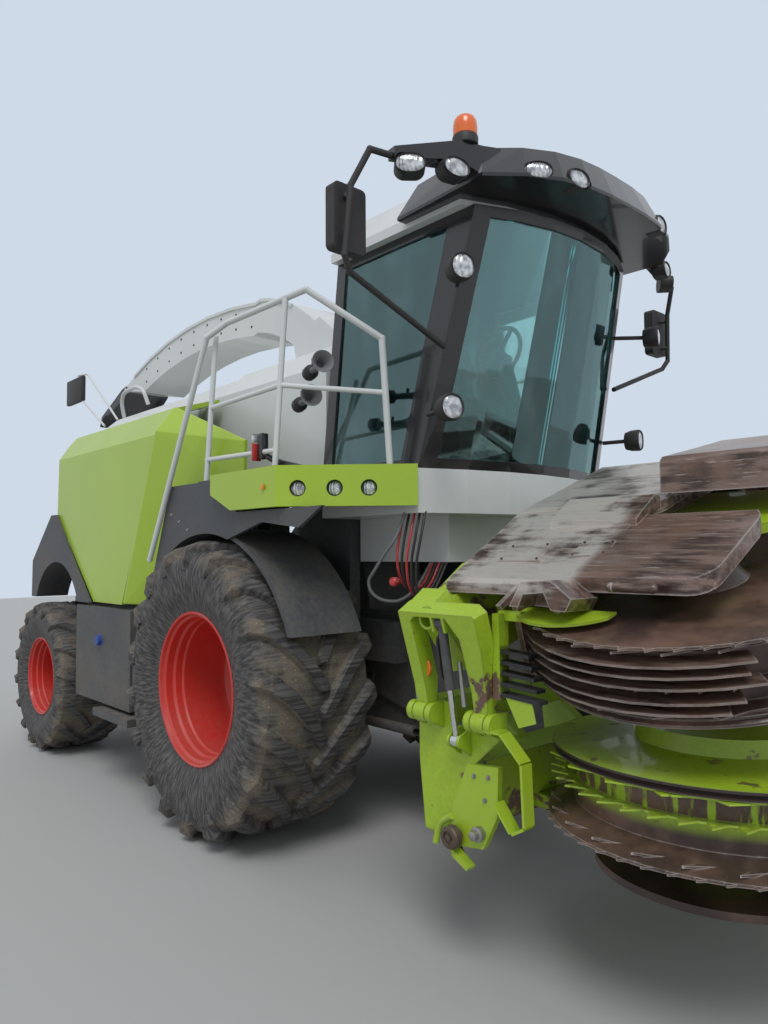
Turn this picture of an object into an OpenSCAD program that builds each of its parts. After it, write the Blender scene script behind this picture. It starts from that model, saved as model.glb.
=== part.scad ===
// Self-propelled forage harvester with a folded rotary maize header.
// X points forward, Y to the machine's left, Z up, and the wheels stand on z = 0.
// Lengths along X inside the modules are counted from the front axle.

/* [Whole machine] */
// Front axle ahead of the model's origin
front_axle_x = 400; // [300:10:500]
// Distance between the axles
wheelbase = 3100; // [3000:10:3200]
// Play where pieces of one machine part meet at a curved seat
seat_gap = 0.3; // [0.2:0.1:0.5]
// Room between bodies that move past each other
move_gap = 8; // [6:1:12]

/* [Front wheels] */
// Radius over the lugs
front_tyre_r = 975; // [960:5:985]
// Section width
front_tyre_w = 790; // [760:10:800]
// Middle of the tyre from the machine's centre line
front_wheel_y = 1225; // [1215:5:1240]
// Radius of the rim's bead seat
front_bead_r = 483; // [470:1:490]
// Width between the rim's flanges
front_rim_w = 690; // [660:10:700]

/* [Rear wheels] */
// Radius over the tread
rear_tyre_r = 700; // [690:5:705]
// Section width
rear_tyre_w = 620; // [600:10:630]
// Middle of the tyre from the machine's centre line
rear_wheel_y = 1275; // [1270:5:1285]
// Radius of the rim's bead seat
rear_bead_r = 350; // [340:1:356]
// Width between the rim's flanges
rear_rim_w = 530; // [510:10:540]
// Kingpin from the machine's centre line
kingpin_y = 1050; // [1045:1:1055]

/* [Chassis] */
// Top of the main rails
rail_top = 1400; // [1390:1:1410]
// Underside of the main rails
rail_low = 1130; // [1128:1:1134]
// Outer face of the main rails
rail_y = 590; // [580:1:600]
// Thickness of a main rail
rail_t = 110; // [100:1:120]
// Walkway and cab floor height
deck_z = 2350; // [2340:1:2360]
// Outer face of the arches, tanks and body panels
side_y = 1500; // [1490:1:1505]

/* [Cab] */
// Front lower corner of the cab
cab_front_x = 1470; // [1460:1:1480]
// How far the windscreen leans forward at its top
cab_lean = 340; // [320:1:360]
// Bulge of the windscreen at its middle
screen_bulge = 200; // [180:1:210]
// Rear wall of the cab
cab_rear_x = 560; // [550:1:570]
// Half width at the floor
cab_low_y = 930; // [920:1:940]
// Half width under the roof
cab_top_y = 790; // [780:1:800]
// Underside of the roof
cab_top_z = 3840; // [3830:1:3850]
// Thickness of the cab's frame
cab_t = 60; // [50:1:65]
// Thickness of the panes
pane_t = 12; // [10:1:14]

/* [Spout] */
// Centre of the turret
spout_x = -270; // [-275:1:-265]
// Width of the chute
spout_w = 500; // [480:10:510]
// Depth of the chute
spout_h = 300; // [280:5:320]
// Highest point of the chute
spout_top_z = 4250; // [4240:5:4260]

/* [Header] */
// Half width of the middle section, where the wings are hinged
hinge_y = 1500; // [1495:1:1505]
// Height of the wing hinges
hinge_z = 1130; // [1125:1:1135]
// Turn of a wing from work to transport
fold_angle = 163; // [162:1:164]
// Rotor centres ahead of the front axle
rotor_x = 3100; // [3090:1:3110]
// Rotor centre from the end of its section
rotor_in = 750; // [748:1:752]
// Radius over the lowest ring of hooked teeth
saw_r = 735; // [725:1:738]
// Height of the lowest ring
saw_z = 735; // [730:1:740]

/* [Hidden] */

lime = "#a8c822";
pale = "#c9cdc8";
anthracite = "#3b3e42";
black = "#1b1c1e";
red = "#c8201c";
steel = "#a9acb0";

round_fn = 32;
wheel_fn = 48;
tyre_fn = 27;
rear_axle_x = -wheelbase;
hub_y_front = 990;
hub_y_rear = 1150;
hub_bore_r = 90;
flange_h = 25;
rim_wall = 16;
feeder_pivot = [450, 1000];
feeder_front = 1995;
cab_low_z = deck_z;
cab_floor_z = cab_low_z + 40;
door_lean = atan2(cab_low_y - cab_top_y, cab_top_z - cab_low_z);
panel_crease_x = -850;
hood_hinge = [-3560, 3060];
panel_hinge = [885, 3110];
panel_hinge_x = [-2600, -1250];
chute_r = 1700;
chute_centre = [spout_x - 1 - 0.75 * chute_r, spout_top_z - 40 - chute_r];
lift_pin_angle = 50.3;
spout_lift_pin = [chute_centre.x + (chute_r - spout_h + 60) * cos(lift_pin_angle), chute_centre.y + (chute_r - spout_h + 60) * sin(lift_pin_angle)];
turret_top = spout_top_z - 860;
flap_pin = [-4200, spout_top_z - 415];
spout_pin_y = 315;
lift_base = [300, 700];
lift_eye = [1450, 700];
lift_y = 520;
cylinder_x = 2280;
fold_base_work = [-hinge_y - 40, hinge_z - 430];
fold_eye = [-hinge_y, hinge_z - 100];
gearbox_top = 670;
hinge_pin_r = 25;
hinge_boss_r = 45;
// Stretches of X that the wing's knuckles fill
knuckle_spans = [[2045, 2115], [2395, 2465]];
spout_base_pin = [-600, turret_top + 50];
spout_eye_pin = [-1350, turret_top + 400];

// Small helpers for placing: all take the corner coordinates of the real piece.
module from_axle() translate([front_axle_x, 0, 0]) children();

module block(x, y, z) translate([x[0], y[0], z[0]]) cube([x[1] - x[0], y[1] - y[0], z[1] - z[0]]);

// Outline in X and Z, cut to the stretch of Y given
module side_cut(points, y) translate([0, y[1], 0]) rotate([90, 0, 0]) linear_extrude(y[1] - y[0]) polygon(points);

// Outline in Y and Z, cut to the stretch of X given
module cross_cut(points, x) translate([x[0], 0, 0]) rotate([90, 0, 90]) linear_extrude(x[1] - x[0]) polygon(points);

// Outline in X and Y, cut to the stretch of Z given
module plan_cut(points, z) translate([0, 0, z[0]]) linear_extrude(z[1] - z[0]) polygon(points);

module both_sides() {
    children();
    mirror([0, 1, 0]) children();
}

module rod(a, b, r) {
    d = b - a;
    length = norm(d);
    translate(a) rotate([0, acos(d.z / length), atan2(d.y, d.x)]) cylinder(h = length, r = r, $fn = round_fn);
}

module tube_run(points, r) {
    for (i = [0 : len(points) - 2]) rod(points[i], points[i + 1], r);
    for (i = [1 : len(points) - 2]) translate(points[i]) sphere(r = r * 1.06, $fn = 16);
}

// Cylinder along Y and along X
module y_round(x, y, z, r, fn = round_fn) translate([x, y[0], z]) rotate([-90, 0, 0]) cylinder(h = y[1] - y[0], r = r, $fn = fn);

module x_round(x, y, z, r) translate([x[0], y, z]) rotate([0, 90, 0]) cylinder(h = x[1] - x[0], r = r, $fn = round_fn);

function arc(centre, r, from, to, steps) =
    [for (i = [0 : steps]) let (a = from + (to - from) * i / steps) [centre.x + r * cos(a), centre.y + r * sin(a)]];

// Wheels
module tyre(r, w, bead_r, bead_w, lugs, lug_w, lug_h) {
    half = w / 2;
    tread_r = r - lug_h;
    middle = half / 2 - 5;
    slant = 45;
    reach = 2 * (half - middle - 2) / cos(slant) - lug_w;
    top_r = sqrt(pow(r, 2) - pow((reach + lug_w) / 2 * sin(slant), 2));
    rotate([90, 0, 0]) rotate_extrude($fn = tyre_fn) polygon([
        [bead_r + seat_gap, 12 - bead_w / 2], [bead_r + flange_h + 10, 12 - bead_w / 2], [r * 0.8, -half], [tread_r, 130 - half],
        [tread_r, half - 130], [r * 0.8, half], [bead_r + flange_h + 10, bead_w / 2 - 12], [bead_r + seat_gap, bead_w / 2 - 12]
    ]);
    for (side = [-1, 1], i = [0 : lugs - 1]) rotate([0, (i + side / 4) * 360 / lugs, 0]) translate([0, side * middle, 0])
        rotate([0, 0, side * slant]) block([-lug_w / 2, lug_w / 2], [-reach / 2, reach / 2], [r * 0.8, top_r]);
}

// Drop-centre rim seen from its outer side at negative Y; hub_in is the hub face from the middle
module rim(bead_r, bead_w, hub_in) {
    cone_r = bead_r * 0.55;
    half = bead_w / 2;
    rotate([90, 0, 0]) rotate_extrude($fn = wheel_fn) polygon([
        [bead_r + flange_h, half], [bead_r + flange_h, half - 12 + seat_gap], [bead_r, half - 12 + seat_gap],
        [bead_r, -half + 12 - seat_gap], [bead_r + flange_h, -half + 12 - seat_gap], [bead_r + flange_h, -half],
        [bead_r - rim_wall, -half], [bead_r - rim_wall, -hub_in * 0.55], [cone_r, -hub_in],
        [hub_bore_r + seat_gap, -hub_in], [hub_bore_r + seat_gap, -hub_in + 20],
        [cone_r + 8, -hub_in + 20], [bead_r - rim_wall, -hub_in * 0.55 + 30], [bead_r - rim_wall, half]
    ]);
}

module front_wheel_place() translate([0, -front_wheel_y, front_tyre_r]) children();

module rear_wheel_place() translate([rear_axle_x, -rear_wheel_y, rear_tyre_r]) children();

module tyre_front_right() color(black) from_axle() front_wheel_place() tyre(front_tyre_r, front_tyre_w, front_bead_r, front_rim_w, 18, 78, 55);

module tyre_front_left() mirror([0, 1, 0]) tyre_front_right();

module rim_front_right() color(red) from_axle() front_wheel_place()
    rim(front_bead_r, front_rim_w, front_wheel_y - hub_y_front);

module rim_front_left() mirror([0, 1, 0]) rim_front_right();

module tyre_rear_right() color(black) from_axle() rear_wheel_place() tyre(rear_tyre_r, rear_tyre_w, rear_bead_r, rear_rim_w, 13, 64, 40);

module tyre_rear_left() mirror([0, 1, 0]) tyre_rear_right();

module rim_rear_right() color(red) from_axle() rear_wheel_place()
    rim(rear_bead_r, rear_rim_w, rear_wheel_y - hub_y_rear);

module rim_rear_left() mirror([0, 1, 0]) rim_rear_right();

// Chassis
module chassis_frame() color(anthracite) from_axle() {
    both_sides() block([-3900, 900], [rail_y - rail_t, rail_y], [rail_low, rail_top]);
    for (x = [-3900, -2000, -700]) block([x, x + 140], [-rail_y + rail_t, rail_y - rail_t], [rail_low, rail_top]);
    block([rear_axle_x - 130, rear_axle_x + 130], [-rail_y + rail_t, rail_y - rail_t], [rear_tyre_r + 110, rail_top]);
    block([-3990, -3900], [-900, 900], [900, rail_top]);
    difference() {
        union() {
            block([-4090, -3990], [-120, 120], [900, 930]);
            block([-4090, -3990], [-120, 120], [1010, 1040]);
        }
        translate([-4050, 0, 880]) cylinder(h = 200, r = 16.5, $fn = round_fn);
    }
}

module front_axle() color(anthracite) from_axle() {
    block([-170, 170], [-800, 800], [front_tyre_r - 140, rail_low]);
    both_sides() translate([0, 0, front_tyre_r]) rotate([-90, 0, 0]) {
        translate([0, 0, 780]) cylinder(h = hub_y_front - 780 - seat_gap, r = 240, $fn = wheel_fn);
        cylinder(h = hub_y_front + 70, r = hub_bore_r, $fn = wheel_fn);
    }
    both_sides() difference() {
        block([169, lift_base.x + 40], [lift_y - 60, lift_y + 60], [lift_base.y - 60, front_tyre_r - 75]);
        block([lift_base.x - 60, lift_base.x + 60], [lift_y - 36, lift_y + 36], [lift_base.y - 80, lift_base.y + 60]);
        translate([lift_base.x, lift_y - 80, lift_base.y]) rotate([-90, 0, 0]) cylinder(h = 160, r = 25 + seat_gap, $fn = round_fn);
    }
}

module rear_axle() color(anthracite) from_axle() translate([rear_axle_x, 0, rear_tyre_r]) {
    block([-110, 110], [-kingpin_y + 210, kingpin_y - 210], [-110, 110]);
    both_sides() for (z = [-110, 70]) hull() {
        block([-100, 100], [kingpin_y - 220, kingpin_y - 210], [z, z + 40]);
        translate([0, kingpin_y, z]) cylinder(h = 40, r = 60, $fn = round_fn);
    }
    both_sides() translate([0, kingpin_y, -110]) cylinder(h = 220, r = 30, $fn = round_fn);
}

module knuckle_right() color(anthracite) from_axle() translate([rear_axle_x, -kingpin_y, rear_tyre_r]) {
    reach = hub_y_rear - kingpin_y;
    difference() {
        union() {
            translate([0, 0, -70 + seat_gap]) cylinder(h = 140 - 2 * seat_gap, r = 58, $fn = round_fn);
            rotate([90, 0, 0]) cylinder(h = reach - seat_gap, r = 56, $fn = round_fn);
            block([-240, -40], [-30, 30], [-30, 10]);
        }
        translate([0, 0, -80]) cylinder(h = 160, r = 30 + seat_gap, $fn = round_fn);
    }
    translate([0, -66, 0]) rotate([90, 0, 0]) cylinder(h = reach - 66 - seat_gap, r = 112, $fn = round_fn);
    translate([0, -66, 0]) rotate([90, 0, 0]) cylinder(h = reach, r = hub_bore_r, $fn = wheel_fn);
}

module knuckle_left() mirror([0, 1, 0]) knuckle_right();

module tie_rod() color(steel) from_axle() translate([rear_axle_x - 210, 0, rear_tyre_r + 30]) {
    rod([0, -kingpin_y, 0], [0, kingpin_y, 0], 18);
    both_sides() translate([0, kingpin_y, -20 + seat_gap]) cylinder(h = 40, r = 32, $fn = round_fn);
}

module engine_block() color(steel) from_axle() block([-3700, -2700], [-640, 640], [rail_top, 2450]);

module chopper_housing() color(anthracite) from_axle() {
    block([180, 900], [-380, 380], [640, 1450]);
    block([-560, 180], [-380, 380], [rail_low, 1450]);
    both_sides() y_round(feeder_pivot.x, [380, 452], feeder_pivot.y, 60);
    side_cut([[-560, 1450], [300, 1450], [-10, 2900], [-540, 2900]], [-290, 290]);
}

// Tanks between the wheels; the rear face is swept clear of the steered tyres
module side_tanks() color(anthracite) from_axle() both_sides() difference() {
    union() {
        block([-2340, -1180], [rail_y, side_y - 10], [630, 1415]);
        block([-1740, -1060], [1160, 1560], [540, 600]);
        for (x = [-1700, -1280]) block([x, x + 60], [1200, 1400], [599, 631]);
    }
    translate([rear_axle_x, kingpin_y, 500]) cylinder(h = 1000, r = 895, $fn = 96);
    translate([0, 600, front_tyre_r]) rotate([-90, 0, 0]) cylinder(h = 1100, r = front_tyre_r + 45, $fn = 96);
}

// Mudguards: a flat skirt outside with a liner over each wheel
module mudguards() color(anthracite) from_axle() both_sides() {
    front_mudguard();
    rear_mudguard();
}

front_arch_outline = [[-790, front_tyre_r + 560], [-800, front_tyre_r + 640], [-500, deck_z - 8], [160, deck_z - 8], [160, front_tyre_r + 1262],
    [420, front_tyre_r + 1146], [1300, front_tyre_r + 1146], [1080, front_tyre_r + 1030], [700, front_tyre_r + 1075], [0, front_tyre_r + 900]];

module front_mudguard() difference() {
    union() {
        side_cut(front_arch_outline, [side_y - 25, side_y]);
        intersection() {
            block([-790, 1100], [cab_low_y + 10, side_y - 24], [front_tyre_r + 400, deck_z - 60]);
            y_round(0, [800, side_y - 24], front_tyre_r, front_tyre_r + 75, 72);
        }
    }
    y_round(0, [700, side_y + 200], front_tyre_r, front_tyre_r + 45, 72);
}

fender_arch = [-2900, 1170];
fender_arch_r = 620;
rear_fender_outline = [[-3600, 1440], [-3590, 1800], [-3060, 2240], [-2930, 2240], [-2420, 1760], [-2060, 1449], [-2060, 1440]];

module rear_mudguard() {
    block([-2940, -2860], [900, side_y - 320], [fender_arch.y + fender_arch_r, fender_arch.y + fender_arch_r + 20]);
    for (sheet = [[side_y - 330, side_y - 45, 25], [side_y - 45, side_y - 20, 500]]) intersection() {
        side_cut(rear_fender_outline, [sheet[0], sheet[1]]);
        difference() {
            y_round(fender_arch.x, [1000, 1600], fender_arch.y, min(fender_arch_r + sheet[2], 1200), 72);
            y_round(fender_arch.x, [900, 1700], fender_arch.y, fender_arch_r, 72);
        }
    }
}

module platforms() color(anthracite) from_axle() both_sides() {
    plan_cut([[-80, cab_low_y], [1380, cab_low_y], [1380, 996], [885, side_y], [-80, side_y]], [deck_z - 8, deck_z]);
    block([-80, cab_rear_x], [rail_y, cab_low_y], [deck_z - 8, deck_z]);
    for (x = [-60, 300]) block([x, x + 80], [rail_y, side_y - 60], [2200, deck_z - 8]);
    block([-60, 540], [rail_y, 680], [rail_top, deck_z - 8]);
}

module lime_cladding() color(lime) from_axle() both_sides() {
    lamp_bar();
    panel_front();
}

module lamp_bar() difference() {
    intersection() {
        plan_cut([[170, side_y], [170, side_y + 50], [920, side_y + 50], [1500, 960], [1420, 940], [1380, 985], [1380, 996], [885, side_y]], [2130, 2370]);
        side_cut([[170, 2380], [170, 2240], [420, 2130], [1600, 2130], [1600, 2380]], [900, 1600]);
    }
    lamp_pockets();
}

module lamp_pockets() {
    for (t = [0.16, 0.42, 0.66]) translate([920 + 580 * t, side_y + 50 - 590 * t, 2235]) rotate([90, 0, -45 + 180]) {
        cylinder(h = 90, r = 48, center = true, $fn = round_fn);
        translate([0, 0, -62]) scale([1.5, 1, 1]) cylinder(h = 40, r = 58, $fn = round_fn);
    }
}

// Lime plate in front of the side panel: its corners from the crease in to the body
module panel_front() difference() {
    hull() for (corner = [[panel_crease_x + move_gap, side_y - 52, 2790], [panel_crease_x + move_gap, 1300, 2985], [-1395, side_y - 52, 1470], [20, 1200, 2640], [0, 1195, 2365], [-880, 1290, 1470]])
        translate(corner) rotate([0, 90, 0]) cylinder(h = 20, r = 12, $fn = 8);
    y_round(0, [700, 1700], front_tyre_r, front_tyre_r + 90, 72);
    block([-600, 300], [cab_low_y, side_y + 100], [1400, deck_z]);
    side_cut([[panel_crease_x + move_gap, 3200], [panel_crease_x + move_gap, 2760], [-1440 + move_gap, 1440], [-3000, 1440], [-3000, 3200]], [900, side_y]);
}

module railings() color(pale) from_axle() {
    foot = deck_z + 3;
    mirror([0, 1, 0]) {
        tube_run([[-760, side_y + 30, 1810], [60, side_y + 20, 3310], [200, 1450, 3390], [1050, 1420, 3400], [1310, 1060, 3120], [1320, 1010, foot]], 20);
        rod([-60, 1450, foot], [60, 1450, 3330], 18);
        rod([770, 1450, foot], [870, 1440, 3400], 18);
        rod([-10, 1450, 2850], [820, 1445, 2870], 16);
        rod([-60, 1450, 2500], [780, 1450, 2480], 16);
        rod([820, 1445, 2870], [1315, 1033, 2800], 16);
    }
    tube_run([[-760, side_y + 30, 1810], [60, side_y + 20, 3310], [200, 1450, 3390], [480, 1440, 3390], [480, 1440, foot]], 20);
    rod([-60, 1450, foot], [60, 1450, 3330], 18);
    rod([-10, 1450, 2850], [480, 1440, 2870], 16);
}

module ladder() color(anthracite) from_axle() {
    for (y = [1060, 1410]) side_cut([[1080, 560], [1130, 560], [1330, 2120], [1270, 2120]], [y, y + 25]);
    for (i = [0 : 4]) block([1060 + 45 * i, 1240 + 45 * i], [1060, 1435], [570 + 340 * i, 600 + 340 * i]);
    block([1270, 1330], [cab_low_y, 1435], [2095, 2120]);
    tube_run([[1140, 1422, 800], [1180, 1500, 860], [1390, 1500, 2200], [1400, 1480, 2300], [1310, 1422, 2110]], 16);
}

// Cab: the outline in plan at the floor and under the roof, set in by a wall thickness
function cab_plan(half, front, inset) = concat(
    [[cab_rear_x + inset, -half + inset]],
    [for (i = [0 : 6]) let (s = i / 3 - 1) [front - inset + screen_bulge * (1 - s * s), s * (half - inset)]],
    [[cab_rear_x + inset, half - inset]]
);

module cab_form(inset) hull() {
    translate([0, 0, cab_low_z]) linear_extrude(1) polygon(cab_plan(cab_low_y, cab_front_x, inset));
    translate([0, 0, cab_top_z - 1]) linear_extrude(1) polygon(cab_plan(cab_top_y, cab_front_x + cab_lean, inset));
}

// Openings in the cab's walls; play widens them for the frame and narrows them for the panes
module screen_opening(play) cross_cut([[-cab_low_y + 110 - play, cab_low_z + 60 - play], [cab_low_y - 110 + play, cab_low_z + 60 - play],
    [cab_top_y - 100 + play, cab_top_z - 60 + play], [-cab_top_y + 100 - play, cab_top_z - 60 + play]], [cab_front_x - 120, cab_front_x + 900]);

module side_opening(play, y) side_cut([[cab_rear_x + 90 - play, cab_low_z + 60 - play], [cab_front_x - 150 + play, cab_low_z + 60 - play],
    [cab_front_x + 130 + play, cab_top_z - 60 + play], [cab_rear_x + 90 - play, cab_top_z - 60 + play]], y);

module rear_opening(play) cross_cut([[-700 - play, cab_low_z + 400 - play], [700 + play, cab_low_z + 400 - play],
    [640 + play, cab_top_z - 60 + play], [-640 - play, cab_top_z - 60 + play]], [cab_rear_x - 20, cab_rear_x + 100]);

// Hinge line of the door, leaning inward with the pillar; children are drawn with Z along it
module door_hinges() translate([cab_rear_x + 94, cab_low_y + 22, cab_low_z]) rotate([door_lean, 0, 0]) for (z = [250, 1150]) translate([0, 0, z]) children();

module cab_frame() color(black) from_axle() {
    cab_shell();
    door_hinges() {
        cylinder(h = 80, r = 8, $fn = round_fn);
        for (z = [0, 65]) translate([0, 0, z]) {
            cylinder(h = 15, r = 16, $fn = round_fn);
            block([-44, 0], [-23, 12], [0, 15]);
        }
    }
}

module cab_shell() difference() {
    cab_form(0);
    intersection() {
        cab_form(cab_t);
        block([0, 3000], [-1000, 1000], [cab_floor_z, cab_top_z - 40]);
    }
    screen_opening(0);
    side_opening(0, [-1100, -600]);
    side_opening(0, [600, 1100]);
    rear_opening(0);
}

module pane_shell() difference() {
    cab_form(14);
    cab_form(14 + pane_t);
}

module cab_glass() color("#7fb0ac") from_axle() intersection() {
    pane_shell();
    union() {
        screen_opening(-seat_gap);
        side_opening(-seat_gap, [-1100, -600]);
        rear_opening(-seat_gap);
    }
}

module door_opening(play) side_opening(play, [600, 1100]);

module cab_door() color(black) from_axle() {
    intersection() {
        difference() {
            cab_form(4);
            cab_form(cab_t - 4);
        }
        difference() {
            door_opening(-move_gap);
            door_opening(-80);
        }
    }
    door_hinges() difference() {
        union() {
            translate([0, 0, 20]) cylinder(h = 40, r = 16, $fn = round_fn);
            block([0, 50], [-28, 12], [20, 60]);
        }
        cylinder(h = 80, r = 8 + seat_gap, $fn = round_fn);
    }
}

module door_glass() color("#7fb0ac") from_axle() intersection() {
    pane_shell();
    door_opening(-80 - seat_gap);
}

module cab_base() color(pale) from_axle() {
    plan_cut(cab_plan(cab_low_y, cab_front_x, 0), [2090, cab_low_z]);
    block([cab_rear_x, 1400], [-600, 600], [1800, 2090]);
}

module cab_roof() color(pale) from_axle() {
    hull() {
        translate([0, 0, cab_top_z]) linear_extrude(60) polygon(cab_plan(cab_top_y + 60, cab_front_x + cab_lean - 60, 0));
        translate([0, 0, cab_top_z + 290]) linear_extrude(10) polygon(cab_plan(cab_top_y - 60, cab_front_x + cab_lean - 260, 60));
    }
}

// Black visor that carries the roof lamps
module roof_visor() color(black) from_axle() {
    visor_shade();
    both_sides() visor_arm();
}

module visor_arm() difference() {
    visor_arm_form();
    for (lamp = arm_lamps) oval_lamp(lamp, seat_gap, 200);
}

module visor_arm_form() intersection() {
    plan_cut([[1830, 800], [1770, 1420], [1830, 1430], [1990, 900], [2010, 800]], [cab_top_z - 20, cab_top_z + 260]);
    cross_cut([[800, cab_top_z + 45], [900, cab_top_z + 45], [1060, cab_top_z + 110], [1440, cab_top_z + 38], [1440, cab_top_z + 95],
        [arm_pad_y + 70, beacon_low_z], [arm_pad_y - 70, beacon_low_z], [800, cab_top_z + 235]], [1700, 2100]);
}

module visor_shade() difference() {
    hull() {
        translate([0, 0, cab_top_z + 30]) linear_extrude(20) polygon(visor_plan(0));
        translate([0, 0, cab_top_z + 230]) linear_extrude(20) polygon(visor_plan(90));
    }
    hull() {
        translate([0, 0, cab_top_z]) linear_extrude(60 + seat_gap) polygon(cab_plan(cab_top_y + 60 + seat_gap, cab_front_x + cab_lean - 60 + seat_gap, 0));
        translate([0, 0, cab_top_z + 290]) linear_extrude(11) polygon(cab_plan(cab_top_y - 60 + seat_gap, cab_front_x + cab_lean - 260 + seat_gap, 60));
    }
    both_sides() for (lamp = visor_lamps) oval_lamp(lamp, seat_gap, 200);
}

function visor_plan(inset) = concat(
    [[1300 + inset, -cab_top_y - 130 + inset]],
    [for (i = [0 : 10]) let (s = i / 5 - 1) [2010 - inset + 320 * (1 - pow(abs(s), 3)), s * (cab_top_y + 170 - inset)]],
    [[1300 + inset, cab_top_y + 130 - inset]]
);

module seat() color(black) from_axle() {
    block([720, 1180], [-260, 260], [2800, 2920]);
    side_cut([[700, 2920], [810, 2920], [750, 3560], [650, 3560]], [-250, 250]);
    block([800, 1080], [-150, 150], [cab_floor_z, 2800]);
}

module cab_controls() color(black) from_axle() {
    hull() {
        block([1500, 1580], [-60, 60], [cab_floor_z, cab_floor_z + 20]);
        block([1340, 1400], [-40, 40], [3120, 3140]);
    }
    translate([1320, 0, 3200]) rotate([0, -55, 0]) {
        rotate_extrude($fn = round_fn) translate([190, 0]) circle(r = 15, $fn = 16);
        cylinder(h = 30, r = 45, center = true, $fn = round_fn);
        for (a = [0, 120, 240]) rotate([0, 0, a]) block([0, 185], [-14, 14], [-8, 8]);
        translate([0, 0, -100]) cylinder(h = 100, r = 35, $fn = round_fn);
    }
    block([900, 1300], [-420, -320], [2900, 2990]);
    block([1000, 1100], [-400, -340], [cab_floor_z, 2900]);
    translate([1360, -400, 2990]) rotate([0, -20, 20]) block([0, 40], [-130, 130], [0, 200]);
    rod([1250, -370, 2950], [1370, -390, 3060], 20);
}

lamp_r = 54;
visor_lamps = [
    // middle of the glass, and the way it faces in degrees from straight ahead
    [[2270, 450, 3920], 8], [[2165, 676, 3930], 38]
];
arm_lamps = [
    [[1960, 1109, 3883], 12], [[1860, 1350, 3862], 40]
];

module oval_lamp(lamp, play, ahead) translate(lamp[0]) rotate([0, 90, lamp[1]]) translate([0, 0, -80 - play]) linear_extrude(80 + play + ahead)
    hull() for (y = [-28, 28]) translate([0, y]) circle(r = lamp_r + play, $fn = round_fn);

module work_lamps() color(steel) from_axle() both_sides() {
    for (lamp = concat(visor_lamps, arm_lamps)) oval_lamp(lamp, 0, 0);
    translate([1850, 1000, 3385]) rotate([0, 90, 20]) cylinder(h = 80, r = lamp_r, $fn = round_fn);
    translate([1715, 960, 2653]) rotate([0, 90, 15]) cylinder(h = 80, r = lamp_r, $fn = round_fn);
    rod([1705.5, 835.5, 3385], [1870, 1000, 3385], 14);
    rod([1539, 911.6, 2653], [1740, 960, 2653], 14);
}

arm_pad_y = 985;
beacon_low_z = cab_top_z + 218;

module beacon() color("#e06a10") from_axle() translate([1915, -arm_pad_y, beacon_low_z]) rotate_extrude($fn = round_fn)
    polygon([[0, 0], [66, 0], [70, 55], [62, 62], [66, 70], [66, 112], [52, 150], [0, 166]]);

mirror_low_z = 3430;

module mirrors() color(black) from_axle() both_sides() {
    tube_run([[1800, 1426.5, 3900], [1775, 1550, 3900], [1700, 1615, 3720], [1680, 1640, 3360], [1660, 1590, 3290], [1650, 890, 3030]], 17);
    hull() for (z = [mirror_low_z, mirror_low_z + 290]) for (y = [1500, 1655]) translate([1580, y, z]) rotate([0, 90, 0]) cylinder(h = 70, r = 28, $fn = 16);
    for (z = [mirror_low_z + 30, mirror_low_z + 240]) rod([1640, 1600, z], [1690, 1632, z], 14);
}

// White engine cover behind the cab, a long hollow-looking hood over the cooling gear
module upper_body() color(pale) from_axle() {
    cross_cut([[-850, 2450], [-850, 3150], [-640, 3330], [640, 3330], [850, 3150], [850, 2450]], [-3520, -900]);
    both_sides() {
        cross_cut([[850, 2450], [850, 3150], [640, 3360], [300, 3360], [300, 2450]], [-900, 500]);
        for (x = panel_hinge_x) {
            x_round([x - 20, x + 120], panel_hinge.x, panel_hinge.y, 8);
            for (lug = [x - 20, x + 106]) {
                block([lug, lug + 14], [849, panel_hinge.x], [panel_hinge.y - 16, panel_hinge.y + 16]);
                x_round([lug, lug + 14], panel_hinge.x, panel_hinge.y, 16);
            }
        }
        for (y = [540, 665]) side_cut([[-3500, hood_hinge.y - 30], [-3500, hood_hinge.y + 22], [hood_hinge.x, hood_hinge.y + 22], [hood_hinge.x - 22, hood_hinge.y], [hood_hinge.x, hood_hinge.y - 22]], [y, y + 20]);
        y_round(hood_hinge.x, [540, 685], hood_hinge.y, 12);
    }
}

module cooler_housing() color(anthracite) from_axle() both_sides() block([-3540, -2450], [640, 900], [rail_top, 2450]);

module rear_hood() color(anthracite) from_axle() {
    side_cut([[-3590, 3050], [-3880, 2700], [-3960, 1750], [-3900, 1750], [-3820, 2680], [-3560, 2990]], [-1000, 1000]);
    both_sides() difference() {
        union() {
            y_round(hood_hinge.x, [566, 659], hood_hinge.y, 24);
            block([hood_hinge.x - 40, hood_hinge.x - 5], [566, 659], [hood_hinge.y - 60, hood_hinge.y]);
        }
        y_round(hood_hinge.x, [565, 660], hood_hinge.y, 12 + seat_gap);
    }
}

// Lime side panel: a flat lower face that leans in to a crown near its top hinge
function panel_section(t) = [[side_y - 50 - t, 1440], [side_y - 50 - t, 2760 - t / 2], [1300 - t / 2, 2980 - t], [panel_hinge.x + 20, 3110 - t],
    [panel_hinge.x + 20, 3110], [1310, 2990], [side_y - 50, 2770], [side_y - 50, 1440]];

panel_outline = [[-2970, 2240], [-2940, 2900], [-2800, 3120], [panel_crease_x, 3120], [panel_crease_x, 2760], [-1440, 1450], [-2040, 1450]];

module side_panel_left() color(lime) from_axle() {
    intersection() {
        cross_cut(panel_section(30), [-3000, panel_crease_x]);
        side_cut(panel_outline, [800, side_y]);
    }
    for (x = panel_hinge_x) difference() {
        union() {
            x_round([x, x + 100], panel_hinge.x, panel_hinge.y, 16);
            block([x, x + 100], [panel_hinge.x, panel_hinge.x + 30], [panel_hinge.y - 25, panel_hinge.y - 2]);
        }
        x_round([x - 1, x + 101], panel_hinge.x, panel_hinge.y, 8 + seat_gap);
    }
}

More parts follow.
